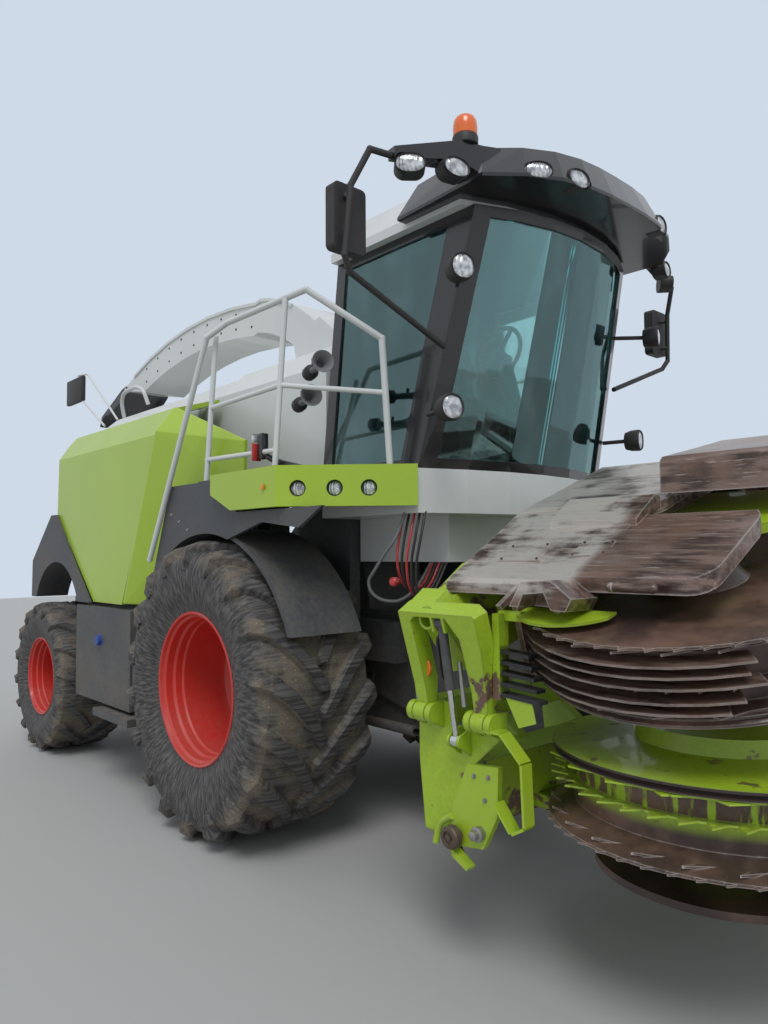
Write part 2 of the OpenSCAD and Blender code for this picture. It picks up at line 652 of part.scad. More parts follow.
module side_panel_right() mirror([0, 1, 0]) side_panel_left();

// Spout
module spout_turret() color(pale) from_axle() {
    translate([spout_x, 0, 2900 + seat_gap]) cylinder(h = turret_top - 2900 - seat_gap, r = 285, $fn = wheel_fn);
    translate([spout_x, 0, turret_top - 20]) cylinder(h = 20, r = 350, $fn = wheel_fn);
    both_sides() side_cut([[-650, turret_top], [-60, turret_top], [-130, turret_top + 250], [-330, turret_top + 410], [-560, spout_lift_pin.y + 107], [-690, spout_lift_pin.y + 27], [-670, spout_lift_pin.y - 73]], [spout_w / 2 + 8, spout_w / 2 + 28]);
    y_round(spout_lift_pin.x, [-spout_w / 2 - 28, spout_w / 2 + 28], spout_lift_pin.y, 25);
    y_round(spout_base_pin.x, [spout_w / 2 + 20, spout_pin_y + 30], spout_base_pin.y, 20);
    difference() {
        intersection() {
            chute_band();
            block([-1000, 300], [-300, 300], [turret_top, spout_top_z - 250]);
            union() {
                pin_sector(lift_pin_angle - 180, -22);
                difference() {
                    pin_sector(-23, lift_pin_angle);
                    y_round(spout_lift_pin.x, [-400, 400], spout_lift_pin.y, chute_joint_r + move_gap, 96);
                }
            }
        }
        y_round(spout_lift_pin.x, [-spout_w / 2 + 30, spout_w / 2 - 30], spout_lift_pin.y, 30);
    }
}

// Outer and inner edges of the chute in side view
spout_crown = [-2250, spout_top_z - 5300];
chute_joint_r = 250;
function chute_line(depth) = concat(
    arc(chute_centre, chute_r - depth, 25, 80, 8),
    arc(spout_crown, 5300 - depth, 80, 112, 8)
);

module spout_arch() color(pale) from_axle() {
    difference() {
        intersection() {
            chute_band();
            union() {
                pin_sector(lift_pin_angle - 0.5, lift_pin_angle + 90);
                pin_sector(lift_pin_angle + 89, lift_pin_angle + 180);
                intersection() {
                    pin_sector(0, lift_pin_angle);
                    y_round(spout_lift_pin.x, [-400, 400], spout_lift_pin.y, chute_joint_r, 96);
                }
            }
        }
        y_round(spout_lift_pin.x, [-400, 400], spout_lift_pin.y, 25 + seat_gap);
        side_cut([[flap_pin.x + 850, flap_pin.y - 100], [flap_pin.x + 500, flap_pin.y - 110], [flap_pin.x + 20, flap_pin.y - 24], [flap_pin.x - 300, flap_pin.y - 24], [flap_pin.x - 300, flap_pin.y - 600], [flap_pin.x + 850, flap_pin.y - 600]], [-400, 400]);
    }
    both_sides() side_cut(spout_lip_outline, [spout_w / 2 - 1, spout_w / 2 + 14]);
    y_round(flap_pin.x, [-spout_w / 2 - 22, spout_w / 2 + 22], flap_pin.y, 15);
    side_cut([[spout_eye_pin.x - 60, spout_eye_pin.y - 40], [spout_eye_pin.x + 60, spout_eye_pin.y - 40], [spout_eye_pin.x + 90, spout_eye_pin.y + 110], [spout_eye_pin.x - 90, spout_eye_pin.y + 110]], [spout_w / 2, spout_pin_y - 16]);
}

// Lip along the chute's upper edge, ahead of the lift pin's joint to the flap
spout_lip_outline = concat(
    arc(chute_centre, chute_r + 6, 62, 80, 4), arc(spout_crown, 5306, 80, 109, 6),
    [for (i = [6 : -1 : 0]) arc(spout_crown, 5278, 80, 109, 6)[i]], [for (i = [4 : -1 : 0]) arc(chute_centre, chute_r - 22, 62, 80, 4)[i]]
);

module chute_band() side_cut(concat(chute_line(0), [for (i = [17 : -1 : 0]) chute_line(spout_h)[i]]), [-spout_w / 2, spout_w / 2]);

// Wedge of side view seen from the lift pin, between two angles
module pin_sector(from, to) side_cut([spout_lift_pin,
    spout_lift_pin + 7000 * [cos(from), sin(from)], spout_lift_pin + 9000 * [cos((from + to) / 2), sin((from + to) / 2)],
    spout_lift_pin + 7000 * [cos(to), sin(to)]], [-350, 350]);

module spout_flap() color(anthracite) from_axle() {
    p = flap_pin;
    side_cut([[p.x - 100, p.y + 17], [p.x - 720, p.y - 235], [p.x - 780, p.y - 355], [p.x - 740, p.y - 365], [p.x - 680, p.y - 265], [p.x - 100, p.y - 35]], [-spout_w / 2 - 16, spout_w / 2 + 16]);
    both_sides() difference() {
        side_cut([[p.x + 40, p.y - 5], [p.x + 10, p.y + 35], [p.x - 100, p.y + 17], [p.x - 700, p.y - 235], [p.x - 500, p.y - 235], [p.x - 100, p.y - 115], [p.x + 20, p.y - 45]], [spout_w / 2 + 6, spout_w / 2 + 16]);
        y_round(flap_pin.x, [200, 300], flap_pin.y, 15 + seat_gap);
    }
}

module spout_barrel() color(steel) from_axle() difference() {
    union() {
        rod([spout_base_pin.x, spout_pin_y, spout_base_pin.y], spout_gland(0.6), 28);
        y_round(spout_base_pin.x, [spout_pin_y - 20, spout_pin_y + 20], spout_base_pin.y, 34);
    }
    y_round(spout_base_pin.x, [0, 600], spout_base_pin.y, 20 + seat_gap);
    rod(spout_gland(0.2), spout_gland(0.61), 15 + seat_gap);
}

// Point on the lift cylinder's axis, as a share of the way from its base to its eye
function spout_gland(t) = [spout_base_pin.x + (spout_eye_pin.x - spout_base_pin.x) * t, spout_pin_y, spout_base_pin.y + (spout_eye_pin.y - spout_base_pin.y) * t];

module spout_rod() color(steel) from_axle() {
    rod(spout_gland(0.45), spout_gland(0.99), 15);
    difference() {
        y_round(spout_eye_pin.x, [spout_pin_y - 15.7, spout_pin_y + 15], spout_eye_pin.y, 30);
        y_round(spout_eye_pin.x, [0, 600], spout_eye_pin.y, 15);
    }
}

// Feeder and header
module feeder_housing() color(anthracite) from_axle() {
    block([1000, feeder_front], [-420, 420], [640, 1420]);
    both_sides() difference() {
        side_cut([[370, 920], [1000, 760], [1000, 1240], [370, 1080]], [390, 430]);
        y_round(feeder_pivot.x, [380, 460], feeder_pivot.y, 60 + seat_gap);
    }
    both_sides() difference() {
        block([lift_eye.x - 60, lift_eye.x + 60], [lift_y - 60, lift_y + 60], [lift_eye.y - 60, lift_eye.y + 120]);
        block([lift_eye.x - 61, lift_eye.x + 61], [lift_y - 34, lift_y + 34], [lift_eye.y - 61, lift_eye.y + 61]);
    }
    both_sides() block([lift_eye.x - 60, lift_eye.x + 60], [420, lift_y + 60], [lift_eye.y + 120, lift_eye.y + 160]);
}

girder_outline = [[2030, 580], [2180, 560], [2340, 930], [2210, 960]];

module header_frame() color(lime) from_axle() {
    end_y = hinge_y - 50;
    side_cut(girder_outline, [-end_y, end_y]);
    block([feeder_front, 2110], [-end_y, end_y], [1050, 1180]);
    for (y = [-1380, -1000, -500, 440, 940, 1320]) side_cut([[feeder_front, 1060], [2110, 1060], [2250, 950], [2130, 600], [2040, 600]], [y, y + 60]);
    both_sides() {
        translate([0, rotor_in, 0]) block([2130, rotor_x], [-90, 90], [580, 650]);
        gearbox(rotor_in);
        translate([rotor_x, rotor_in, 530]) cylinder(h = 31, r = 520, $fn = wheel_fn);
        side_cut(header_end_outline, [end_y - 25, end_y]);
        for (span = knuckle_spans) {
            for (x = [[span[0] - 40, span[0] - 5], [span[1] + 5, span[1] + 40]]) {
                cross_cut([[end_y - 1, hinge_z - 70], [end_y - 1, hinge_z + hinge_boss_r], [hinge_y, hinge_z + hinge_boss_r], [hinge_y, hinge_z - hinge_boss_r]], x);
                x_round(x, hinge_y, hinge_z, hinge_boss_r);
            }
            x_round([span[0] - 40, span[1] + 40], hinge_y, hinge_z, hinge_pin_r);
        }
        for (x = [cylinder_x - 38, cylinder_x + 22]) {
            cross_cut([[end_y - 1, hinge_z - 170], [end_y - 1, hinge_z - 50], [-fold_eye.x, fold_eye.y + 30], [-fold_eye.x, fold_eye.y - 30]], [x, x + 16]);
            x_round([x, x + 16], -fold_eye.x, fold_eye.y, 30);
        }
    }
    difference() {
        plan_cut([[2150, -60], [3480, -60], [3560, -170], [3800, -90], [4190, -12], [4190, 12], [3800, 90], [3560, 170], [3480, 60], [2150, 60]], [590, 680]);
        both_sides() translate([rotor_x, rotor_in, 580]) cylinder(h = 60, r = 230, $fn = wheel_fn);
    }
}

header_end_outline = [[feeder_front, 1180], [cylinder_x - 70, 1180], [cylinder_x - 60, 1080], [cylinder_x - 21, 1080], [cylinder_x - 21, 1042], [cylinder_x + 21, 1042], [cylinder_x + 21, 1080], [cylinder_x + 60, 1080], [cylinder_x + 75, 1180], [2505, 1180], [2505, 1080], [2340, 930], [2180, 560], [2030, 580], [feeder_front, 900]];

module lift_barrels() color(anthracite) from_axle() both_sides() {
    difference() {
        rod([lift_base.x, lift_y, lift_base.y], [1000, lift_y, lift_base.y], 34);
        rod([700, lift_y, lift_base.y], [1001, lift_y, lift_base.y], 24 + seat_gap);
    }
    y_round(lift_base.x, [lift_y - 59, lift_y + 59], lift_base.y, 25);
}

module lift_rods() color(steel) from_axle() both_sides() rod([820, lift_y, lift_eye.y], [lift_eye.x + 30, lift_y, lift_eye.y], 24);

// One rotor in working position: stepped drum, belt rim and rings of teeth
module rotor() {
    rotate_extrude($fn = wheel_fn) polygon([
        [0, 780], [60 + seat_gap, 780], [60 + seat_gap, gearbox_top + seat_gap], [160, gearbox_top + seat_gap], [200, saw_z - 12],
        [saw_r - 20, saw_z - 6], [saw_r - 20, saw_z + 6], [600, saw_z + 60], [610, 985], [640, 1000], [690, 1005], [672, 1018], [690, 1031],
        [690, 1042], [560, 1052], [340, 1062], [325, 1130], [0, 1150]
    ]);
    for (ring = rotor_rings) toothed_ring(ring[0], ring[1], ring[2], ring[3], ring[4]);
}

rotor_rings = [
    // root radius, tip radius, teeth, share of the pitch that a tooth leans, Z from and to
    [saw_r - 30, saw_r, 48, 0.3, [saw_z - 5, saw_z + 4]], [640, 705, 24, 0.8, [saw_z + 22, saw_z + 32]],
    [640, 700, 40, 0.25, [900, 908]], [670, 712, 20, 0.25, [994, 1001]]
];

module toothed_ring(root_r, tip_r, count, lean, z) translate([0, 0, z[0]]) linear_extrude(z[1] - z[0]) difference() {
    polygon([for (i = [0 : count - 1]) each let (a = 360 / count) [
        root_r * [cos(a * i), sin(a * i)], tip_r * [cos(a * (i + 0.25 + lean)), sin(a * (i + 0.25 + lean))], root_r * [cos(a * (i + 0.7)), sin(a * (i + 0.7))]
    ]]);
    circle(r = 560, $fn = wheel_fn);
}

// Gearbox and shaft that carry a rotor
module gearbox(y) translate([rotor_x, y, 0]) {
    translate([0, 0, 560]) cylinder(h = gearbox_top - 560, r = 150, $fn = wheel_fn);
    translate([0, 0, gearbox_top]) cylinder(h = 90, r = 60, $fn = round_fn);
}

module rotor_left() color(lime) from_axle() translate([rotor_x, rotor_in, 0]) rotor();

module rotor_right() mirror([0, 1, 0]) rotor_left();

// Turns a right wing from work, where the modules draw it, to transport
module folded() translate([0, -hinge_y, hinge_z]) rotate([-fold_angle, 0, 0]) translate([0, hinge_y, -hinge_z]) children();

module wing_right() color(lime) from_axle() {
    folded() wing_in_work();
    wing_end();
}

// Wing drawn in working position
module wing_in_work() {
    root_y = -hinge_y - 90;
    difference() {
        union() {
            side_cut(girder_outline, [-2990, root_y]);
            intersection() {
                cross_cut([[-hinge_y, 1085], [-hinge_y - 10, 1000], [-hinge_y - 10, 560], [root_y - 10, 560], [root_y - 10, 1000], [-hinge_y - 45, hinge_z]], [2000, 2520]);
                side_cut(wing_root_outline, [root_y - 20, -hinge_y]);
            }
        }
        cross_cut([[-1480, 500], [-1480, 655], [-1592, 628], [-1700, 602], [-1700, 652], [-1760, 638], [-2080, 562], [-2080, 500]], [2000, 2600]);
    }
    difference() {
        for (span = knuckle_spans) x_round(span, -hinge_y, hinge_z, hinge_boss_r);
        x_round([2000, 2500], -hinge_y, hinge_z, hinge_pin_r + seat_gap);
    }
    for (x = [cylinder_x - 42, cylinder_x + 26]) {
        block([x, x + 16], [root_y - 1, fold_base_work.x + 30], [fold_base_work.y - 35, fold_base_work.y + 35]);
    }
    x_round([cylinder_x - 42, cylinder_x + 42], fold_base_work.x, fold_base_work.y, 15);
    translate([0, -hinge_y - rotor_in, 0]) block([2130, rotor_x], [-90, 90], [580, 650]);
    gearbox(-hinge_y - rotor_in);
    plan_cut([[2130, -2980], [3200, -2980], [3380, -2850], [3380, -2400], [3320, -2345], [2130, -2345]], [520, 561]);
}

wing_root_outline = [[2045, 1130], [2115, 1130], [2115, 690], [2140, 668], [2330, 668], [2395, 760], [2395, 1130], [2465, 1130], [2500, 800], [2500, 660], [2460, 620], [2045, 620]];

// End of the folded wing: open tube, guard slats and the curved lime plate, placed as they park
module wing_end() {
    difference() {
        y_round(2200, [-1600, -1480], 1570, 52);
        y_round(2200, [-1601, -1530], 1570, 40);
    }
    intersection() {
        translate([2790, -1290, 1645]) rotate([180 - fold_angle, 0, 0]) cylinder(h = 10, r = 270, $fn = wheel_fn);
        block([2590, 3010], [-1580, -1380], [1400, 1750]);
    }
    block([2498, 2620], [-1470, -1438.5], [1570, 1612]);
    for (i = [0 : 4]) side_cut([[2500, 1440 - 45 * i], [2680 + 12 * i, 1425 - 45 * i], [2680 + 12 * i, 1440 - 45 * i], [2500, 1455 - 45 * i]], [-1500, -1440]);
    block([2490, 2530], [-1500, -1440], [1240, 1600]);
}

module wing_left() mirror([0, 1, 0]) wing_right();

// Worn skids and shields on the wing's underside, which is on top while it is folded
shield_crown = [[-1560, 1640], [-1400, 1735], [-1170, 1870], [-850, 2040], [-560, 2160], [-340, 2250], [-60, 2330]];
skid_table = [
    // plan of the skid: X from and to, Y from and to; top Z at the outer and inner edge; depth
    [[2150, 2860], [-1420, -860], [1722, 2045], 45], [[2150, 2900], [-845, -60], [2060, 2345], 45],
    [[2815, 3390], [-1400, -890], [1760, 2015], 60], [[2870, 3420], [-760, -90], [2270, 2420], 150]
];

module skids_right() color("#6b4a3c") from_axle() {
    for (skid = skid_table) skid_form(skid[0], skid[1], skid[2], skid[3]);
    shield_pad([2440, 2890], [-1010, -800]);
    for (x = [2180, 2560, 2840]) intersection() {
        cross_cut(concat(shield_crown, [[-60, 2207], [-880, 1963], [-900, 1923], [-1060, 1883], [-1180, 1817], [-1400, 1693], [-1540, 1623]]), [x, x + 20]);
        block([x, x + 20], [x < 2300 ? -1400 : -1600, 0], [1000, 3000]);
    }
    lamp_hood();
    lift_bar();
    for (blade = blade_table) guide_blade(blade[0], blade[1], blade[2], blade[3]);
    folded() block([2552, 2580], [-1745, -1700], [640, 973]);
}

module skid_form(x, y, z, depth) intersection() {
    cross_cut([[y[0], z[0]], [y[0] + 25, z[0] + 22], [(y[0] + y[1]) / 2, (z[0] + z[1]) / 2 + 12], [y[1] - 25, z[1] + 6], [y[1], z[1] - 6], [y[1], z[1] - depth], [y[0], z[0] - depth]], x);
    plan_cut(concat([[x[0], y[0]]], arc([x[1] - 90, y[0] + 90], 90, -90, 0, 4), arc([x[1] - 90, y[1] - 90], 90, 0, 90, 4), [[x[0], y[1]]]), [1000, 3000]);
}

module shield_pad(x, y) cross_cut([[y[0], 1950], [y[0], 2000], [y[0] + 40, 2030], [y[1] - 40, 2115], [y[1], 2110], [y[1], 2050]], x);

module lamp_hood() difference() {
    side_cut([[2630, 1640], [2690, 1740], [2830, 1750], [2930, 1680], [2900, 1630]], [-1560, -1380]);
    side_cut([[2660, 1600], [2700, 1690], [2800, 1700], [2850, 1600]], [-1561, -1450]);
}

module lift_bar() {
    tube_run([[3030, -1360, 1720], [3030, -1450, 1725], [3200, -1450, 1725], [3220, -1480, 1640], [3400, -1480, 1620], [3400, -1370, 1720]], 18);
}

blade_table = [
    // Z in working position, inner radius, and where the arc begins and ends
    [790, 640, 52, 136], [830, 630, 54, 136], [872, 650, 50, 136], [925, 630, 56, 136], [965, 660, 60, 136]
];

// Curved blade between the rotor's rings, on the side towards the wing's hinge
module guide_blade(z, inner_r, from, to) folded() translate([rotor_x, -hinge_y - rotor_in, z]) linear_extrude(8)
    polygon(concat(arc([0, 0], blade_r, from, to, 8), [for (i = [8 : -1 : 0]) arc([0, 0], inner_r, from, to, 8)[i]]));

blade_r = rotor_in - 8;

module skids_left() mirror([0, 1, 0]) skids_right();

module wing_rotor_right() color(lime) from_axle() folded() translate([rotor_x, -hinge_y - rotor_in, 0]) rotor();

module wing_rotor_left() mirror([0, 1, 0]) wing_rotor_right();

module fold_barrel_right() color(anthracite) from_axle() difference() {
    union() {
        rod(fold_point(0), fold_point(0.56), 21);
        x_round([cylinder_x - 25, cylinder_x + 25], fold_point(0).y, fold_point(0).z, 25);
    }
    x_round([cylinder_x - 30, cylinder_x + 30], fold_point(0).y, fold_point(0).z, 15 + seat_gap);
    rod(fold_point(0.07), fold_point(0.59), 14 + seat_gap);
}

// Base pin of the right fold cylinder when the wing is folded
function turned(p) = [-hinge_y + (p.x + hinge_y) * cos(fold_angle) + (p.y - hinge_z) * sin(fold_angle),
    hinge_z - (p.x + hinge_y) * sin(fold_angle) + (p.y - hinge_z) * cos(fold_angle)];

function fold_point(t) = let (a = turned(fold_base_work)) [cylinder_x, a.x + (fold_eye.x - a.x) * t, a.y + (fold_eye.y - a.y) * t];

module fold_rod_right() color(steel) from_axle() {
    rod(fold_point(0.5), fold_point(0.97), 14);
    difference() {
        x_round([cylinder_x - 18, cylinder_x + 18], fold_eye.x, fold_eye.y, 26);
        x_round([cylinder_x - 30, cylinder_x + 30], fold_eye.x, fold_eye.y, 14);
    }
}

module fold_barrel_left() mirror([0, 1, 0]) fold_barrel_right();

module fold_rod_left() mirror([0, 1, 0]) fold_rod_right();

chassis_frame();
front_axle();
rear_axle();
engine_block();
chopper_housing();
side_tanks();
mudguards();
platforms();
lime_cladding();
railings();
ladder();
cab_base();
cab_frame();
cab_glass();
cab_roof();
roof_visor();
cab_door();
door_glass();
seat();
cab_controls();
work_lamps();
beacon();
mirrors();
upper_body();
cooler_housing();
rear_hood();
side_panel_right();
side_panel_left();
spout_turret();
spout_arch();
spout_flap();
spout_barrel();
spout_rod();
tyre_front_right();
rim_front_right();
tyre_front_left();
rim_front_left();
tyre_rear_right();
rim_rear_right();
tyre_rear_left();
rim_rear_left();
knuckle_right();
knuckle_left();
tie_rod();
feeder_housing();
header_frame();
lift_barrels();
lift_rods();
rotor_right();
rotor_left();
wing_right();
wing_left();
wing_rotor_right();
wing_rotor_left();
skids_right();
skids_left();
fold_barrel_right();
fold_rod_right();
fold_barrel_left();
fold_rod_left();
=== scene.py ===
import math

import bmesh
import bpy
from mathutils import Matrix, Vector


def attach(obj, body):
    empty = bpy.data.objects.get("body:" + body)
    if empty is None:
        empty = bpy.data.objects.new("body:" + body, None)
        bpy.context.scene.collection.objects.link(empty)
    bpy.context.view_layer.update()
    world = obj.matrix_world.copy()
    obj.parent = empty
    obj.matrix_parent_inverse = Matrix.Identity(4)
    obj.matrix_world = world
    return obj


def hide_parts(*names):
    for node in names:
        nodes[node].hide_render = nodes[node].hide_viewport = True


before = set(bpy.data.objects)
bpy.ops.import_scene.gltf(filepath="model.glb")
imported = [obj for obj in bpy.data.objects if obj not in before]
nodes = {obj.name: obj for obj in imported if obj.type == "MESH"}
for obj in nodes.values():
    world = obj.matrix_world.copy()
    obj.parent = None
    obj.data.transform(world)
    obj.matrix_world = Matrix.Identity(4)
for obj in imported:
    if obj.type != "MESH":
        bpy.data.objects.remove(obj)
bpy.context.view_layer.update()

# Camera
# It stands at the machine's right front corner at eye height, a little over five metres from the middle
# of the cab, and looks slightly up with almost no roll.
eye_place = (5.003, -4.008, 1.863)
eye_turn = (math.radians(93.02), math.radians(0.37), math.radians(48.11))
eye_lens = 26.75
film_height = 36.0

camera_data = bpy.data.cameras.new("eye")
camera_data.lens = eye_lens
camera_data.sensor_fit = "VERTICAL"
camera_data.sensor_height = film_height
camera = bpy.data.objects.new("eye", camera_data)
camera.location = eye_place
camera.rotation_euler = eye_turn
bpy.context.scene.collection.objects.link(camera)
bpy.context.scene.camera = camera

# Studio
# A plain pale floor, an overcast sky that lights evenly from all sides, and one broad soft lamp that
# shines from high at the right front.
floor_side = 60.0
floor_colour = (0.42, 0.42, 0.41, 1)
sky_colour = (0.62, 0.70, 0.80, 1)
sky_light = (0.80, 0.84, 0.90, 1)
sky_strength = 0.78
lamp_strength = 1.3
lamp_spread = math.radians(25)
lamp_turn = (math.radians(32), math.radians(14), math.radians(25))


def tree_of(material):
    material.use_nodes = True
    material.node_tree.nodes.clear()
    return material.node_tree


def add(tree, kind, **settings):
    """A node of a kind, with its own settings or its inputs set by name, spaces as underscores."""
    made = tree.nodes.new(kind)
    for key, value in settings.items():
        if hasattr(made, key):
            setattr(made, key, value)
        else:
            made.inputs[key.replace("_", " ")].default_value = value
    return made


def wire(tree, source, socket):
    """Links a socket to another, or sets it to a colour or a number."""
    if isinstance(source, bpy.types.NodeSocket):
        tree.links.new(source, socket)
    elif isinstance(source, tuple):
        socket.default_value = (*source, 1) if len(source) == 3 else source
    else:
        socket.default_value = source


def calc(tree, operation, *terms):
    made = add(tree, "ShaderNodeMath", operation=operation)
    for term, socket in zip(terms, made.inputs):
        wire(tree, term, socket)
    return made.outputs[0]


def blend(tree, share, first, second):
    """The first shader where the share is 0 and the second where it is 1."""
    made = add(tree, "ShaderNodeMixShader")
    wire(tree, share, made.inputs[0])
    wire(tree, first.outputs[0], made.inputs[1])
    wire(tree, second.outputs[0], made.inputs[2])
    return made


def output(tree, shader, kind="ShaderNodeOutputMaterial"):
    wire(tree, shader.outputs[0], add(tree, kind).inputs[0])


bpy.context.scene.view_settings.view_transform = "Standard"
overcast = bpy.data.worlds.new("overcast")
bpy.context.scene.world = overcast
sky = tree_of(overcast)
rays = add(sky, "ShaderNodeLightPath").outputs
seen = calc(sky, "ADD", rays["Is Camera Ray"], rays["Is Transmission Ray"])
lit = add(sky, "ShaderNodeBackground", Color=sky_light, Strength=sky_strength)
shown = add(sky, "ShaderNodeBackground", Color=sky_colour, Strength=1.0)
output(sky, blend(sky, seen, lit, shown), "ShaderNodeOutputWorld")

lamp_data = bpy.data.lights.new("soft_sun", "SUN")
lamp_data.energy = lamp_strength
lamp_data.angle = lamp_spread
lamp = bpy.data.objects.new("soft_sun", lamp_data)
lamp.rotation_euler = lamp_turn
bpy.context.scene.collection.objects.link(lamp)

floor_shape = bmesh.new()
bmesh.ops.create_grid(floor_shape, x_segments=1, y_segments=1, size=floor_side / 2)
floor_mesh = bpy.data.meshes.new("floor")
floor_shape.to_mesh(floor_mesh)
floor_shape.free()
floor = bpy.data.objects.new("floor", floor_mesh)
bpy.context.scene.collection.objects.link(floor)
floor_paint = bpy.data.materials.new("floor")
floor_tree = tree_of(floor_paint)
output(floor_tree, add(floor_tree, "ShaderNodeBsdfPrincipled", Base_Color=floor_colour, Roughness=0.8))
floor_mesh.materials.append(floor_paint)

# Chassis and running gear
# Welded box rails, axles, tanks and skirts in anthracite paint, sprayed on and dulled by road dust.
# The rails carry everything; the tanks and skirts are bolted to them.
anthracite_colour = (0.055, 0.062, 0.072)
steel_colour = (0.40, 0.40, 0.39)
chrome_colour = (0.75, 0.76, 0.77)
dust_colour = (0.25, 0.21, 0.165)
dust_full_below = 0.2
dust_thin_above = 2.6


def times(tree, first, *others):
    for other in others:
        first = calc(tree, "MULTIPLY", first, other)
    return first


def tint(tree, share, first, second):
    """The first colour where the share is 0 and the second where it is 1."""
    made = add(tree, "ShaderNodeMix", data_type="RGBA")
    wire(tree, share, made.inputs[0])
    wire(tree, first, made.inputs[6])
    wire(tree, second, made.inputs[7])
    return made.outputs[2]


def rising(tree, value, low, high):
    """Rises smoothly from 0 at low to 1 at high."""
    made = add(tree, "ShaderNodeMapRange", interpolation_type="SMOOTHSTEP")
    wire(tree, value, made.inputs[0])
    made.inputs[1].default_value = low
    made.inputs[2].default_value = high
    return made.outputs[0]


def falling(tree, value, low, high):
    """Falls smoothly from 1 at low to 0 at high."""
    return calc(tree, "SUBTRACT", 1.0, rising(tree, value, low, high))


def noise(tree, scale, detail=4, stretch=(1, 1, 1)):
    """Cloudy noise on the piece's own coordinates: waves to the metre, times the stretch on each axis."""
    place = add(tree, "ShaderNodeTexCoord")
    longer = add(tree, "ShaderNodeVectorMath", operation="MULTIPLY")
    wire(tree, place.outputs["Object"], longer.inputs[0])
    longer.inputs[1].default_value = stretch
    made = add(tree, "ShaderNodeTexNoise", Scale=scale, Detail=detail, Roughness=0.6)
    wire(tree, longer.outputs[0], made.inputs["Vector"])
    return made.outputs[0]


def position(tree, axis):
    """Metres along an axis of the frame: 0 is X, 1 is Y and 2 is Z."""
    place = add(tree, "ShaderNodeTexCoord")
    parts = add(tree, "ShaderNodeSeparateXYZ")
    wire(tree, place.outputs["Object"], parts.inputs[0])
    return parts.outputs[axis]


def upward(tree):
    """1 on faces that look up and 0 on upright ones."""
    face = add(tree, "ShaderNodeNewGeometry")
    parts = add(tree, "ShaderNodeSeparateXYZ")
    wire(tree, face.outputs["Normal"], parts.inputs[0])
    return rising(tree, parts.outputs[2], 0.15, 1.0)


def dust_film(tree, amount):
    """Dust that lies thicker low down and on faces that look up, in patches."""
    patches = calc(tree, "MULTIPLY_ADD", noise(tree, 30), 0.4, times(tree, noise(tree, 1.6, 5), 0.6))
    low = falling(tree, position(tree, 2), dust_full_below, dust_thin_above)
    settled = calc(tree, "MULTIPLY_ADD", upward(tree), 0.35, calc(tree, "MULTIPLY_ADD", low, 0.55, 0.2))
    return times(tree, settled, rising(tree, patches, 0.30, 0.70), amount)


def surface(tree, height, depth, **inputs):
    """The shader and output of a material: inputs wired by name, and a height value as fine relief."""
    shader = add(tree, "ShaderNodeBsdfPrincipled")
    for key, source in inputs.items():
        wire(tree, source, shader.inputs[key.replace("_", " ")])
    relief = add(tree, "ShaderNodeBump", Distance=depth)
    wire(tree, height, relief.inputs["Height"])
    wire(tree, relief.outputs[0], shader.inputs["Normal"])
    output(tree, shader)


def painted(name, colour, rough, dust, metal=0.0, coat=0.0, depth=0.0006):
    """A sprayed or moulded finish: a slow change of shade, a film of dust and a fine grain."""
    material = bpy.data.materials.new(name)
    tree = tree_of(material)
    grain = noise(tree, 45)
    film = dust_film(tree, dust)
    darker = tuple(c * 0.86 for c in colour)
    lighter = tuple(min(c * 1.12, 1) for c in colour)
    dusted = tint(tree, film, tint(tree, noise(tree, 1.1, 5), darker, lighter), dust_colour)
    shine = calc(tree, "MULTIPLY_ADD", film, 0.45, calc(tree, "MULTIPLY_ADD", grain, 0.12, rough - 0.06))
    surface(tree, grain, depth, Base_Color=dusted, Roughness=shine, Metallic=metal, Coat_Weight=coat)
    return material


def dress(material, *names):
    for name in names:
        for held in nodes[name].material_slots:
            held.material = material


anthracite = painted("anthracite_paint", anthracite_colour, 0.5, 0.75)
bare_steel = painted("bare_steel", steel_colour, 0.38, 0.5, metal=0.9)
chrome = painted("chromed_rod", chrome_colour, 0.12, 0.15, metal=1.0)
dress(anthracite, "chassis_frame", "front_axle", "rear_axle", "chopper_housing", "side_tanks", "mudguards")
dress(anthracite, "platforms", "ladder", "knuckle_right", "knuckle_left", "cooler_housing", "rear_hood")
dress(anthracite, "feeder_housing", "lift_barrels", "spout_flap", "fold_barrel_right", "fold_barrel_left")
dress(bare_steel, "tie_rod", "engine_block", "spout_barrel")
dress(chrome, "lift_rods", "spout_rod", "fold_rod_right", "fold_rod_left")

# Wheels
# Tractor-pattern rubber tyres moulded in one, grey with dust, with dried mud and straw between the lugs.
# They sit on pressed and welded steel rims in red enamel, deep-dished, with a ring of dark wheel nuts.
front_x = 0.4
wheelbase = 3.1
wheels = {
    # the tyre's axle X, middle Y, radius, half width, bead radius and lugs a side; the rim's half width, its
    # shift outward from the tyre's middle, the depth of its hub face and the radius of its cone
    "front": {
        "x": front_x, "y": 1.205, "radius": 0.975, "half": 0.43, "bead": 0.487, "lugs": 18,
        "rim_half": 0.345, "rim_shift": 0.02, "hub_in": 0.235, "cone": 0.266,
    },
    "rear": {
        "x": front_x - wheelbase, "y": 1.275, "radius": 0.70, "half": 0.31, "bead": 0.354, "lugs": 16,
        "rim_half": 0.265, "rim_shift": 0.0, "hub_in": 0.125, "cone": 0.1925,
    },
}
carcass_profile = [
    # share of the half width, and share of the way from bead to lug tip
    (0.84, 0.0), (0.85, 0.07), (0.90, 0.16), (0.965, 0.32), (1.0, 0.50), (0.99, 0.64), (0.94, 0.76),
    (0.85, 0.845), (0.71, 0.875), (0.46, 0.89), (0.16, 0.895),
]
carcass_steps_a_lug = 8
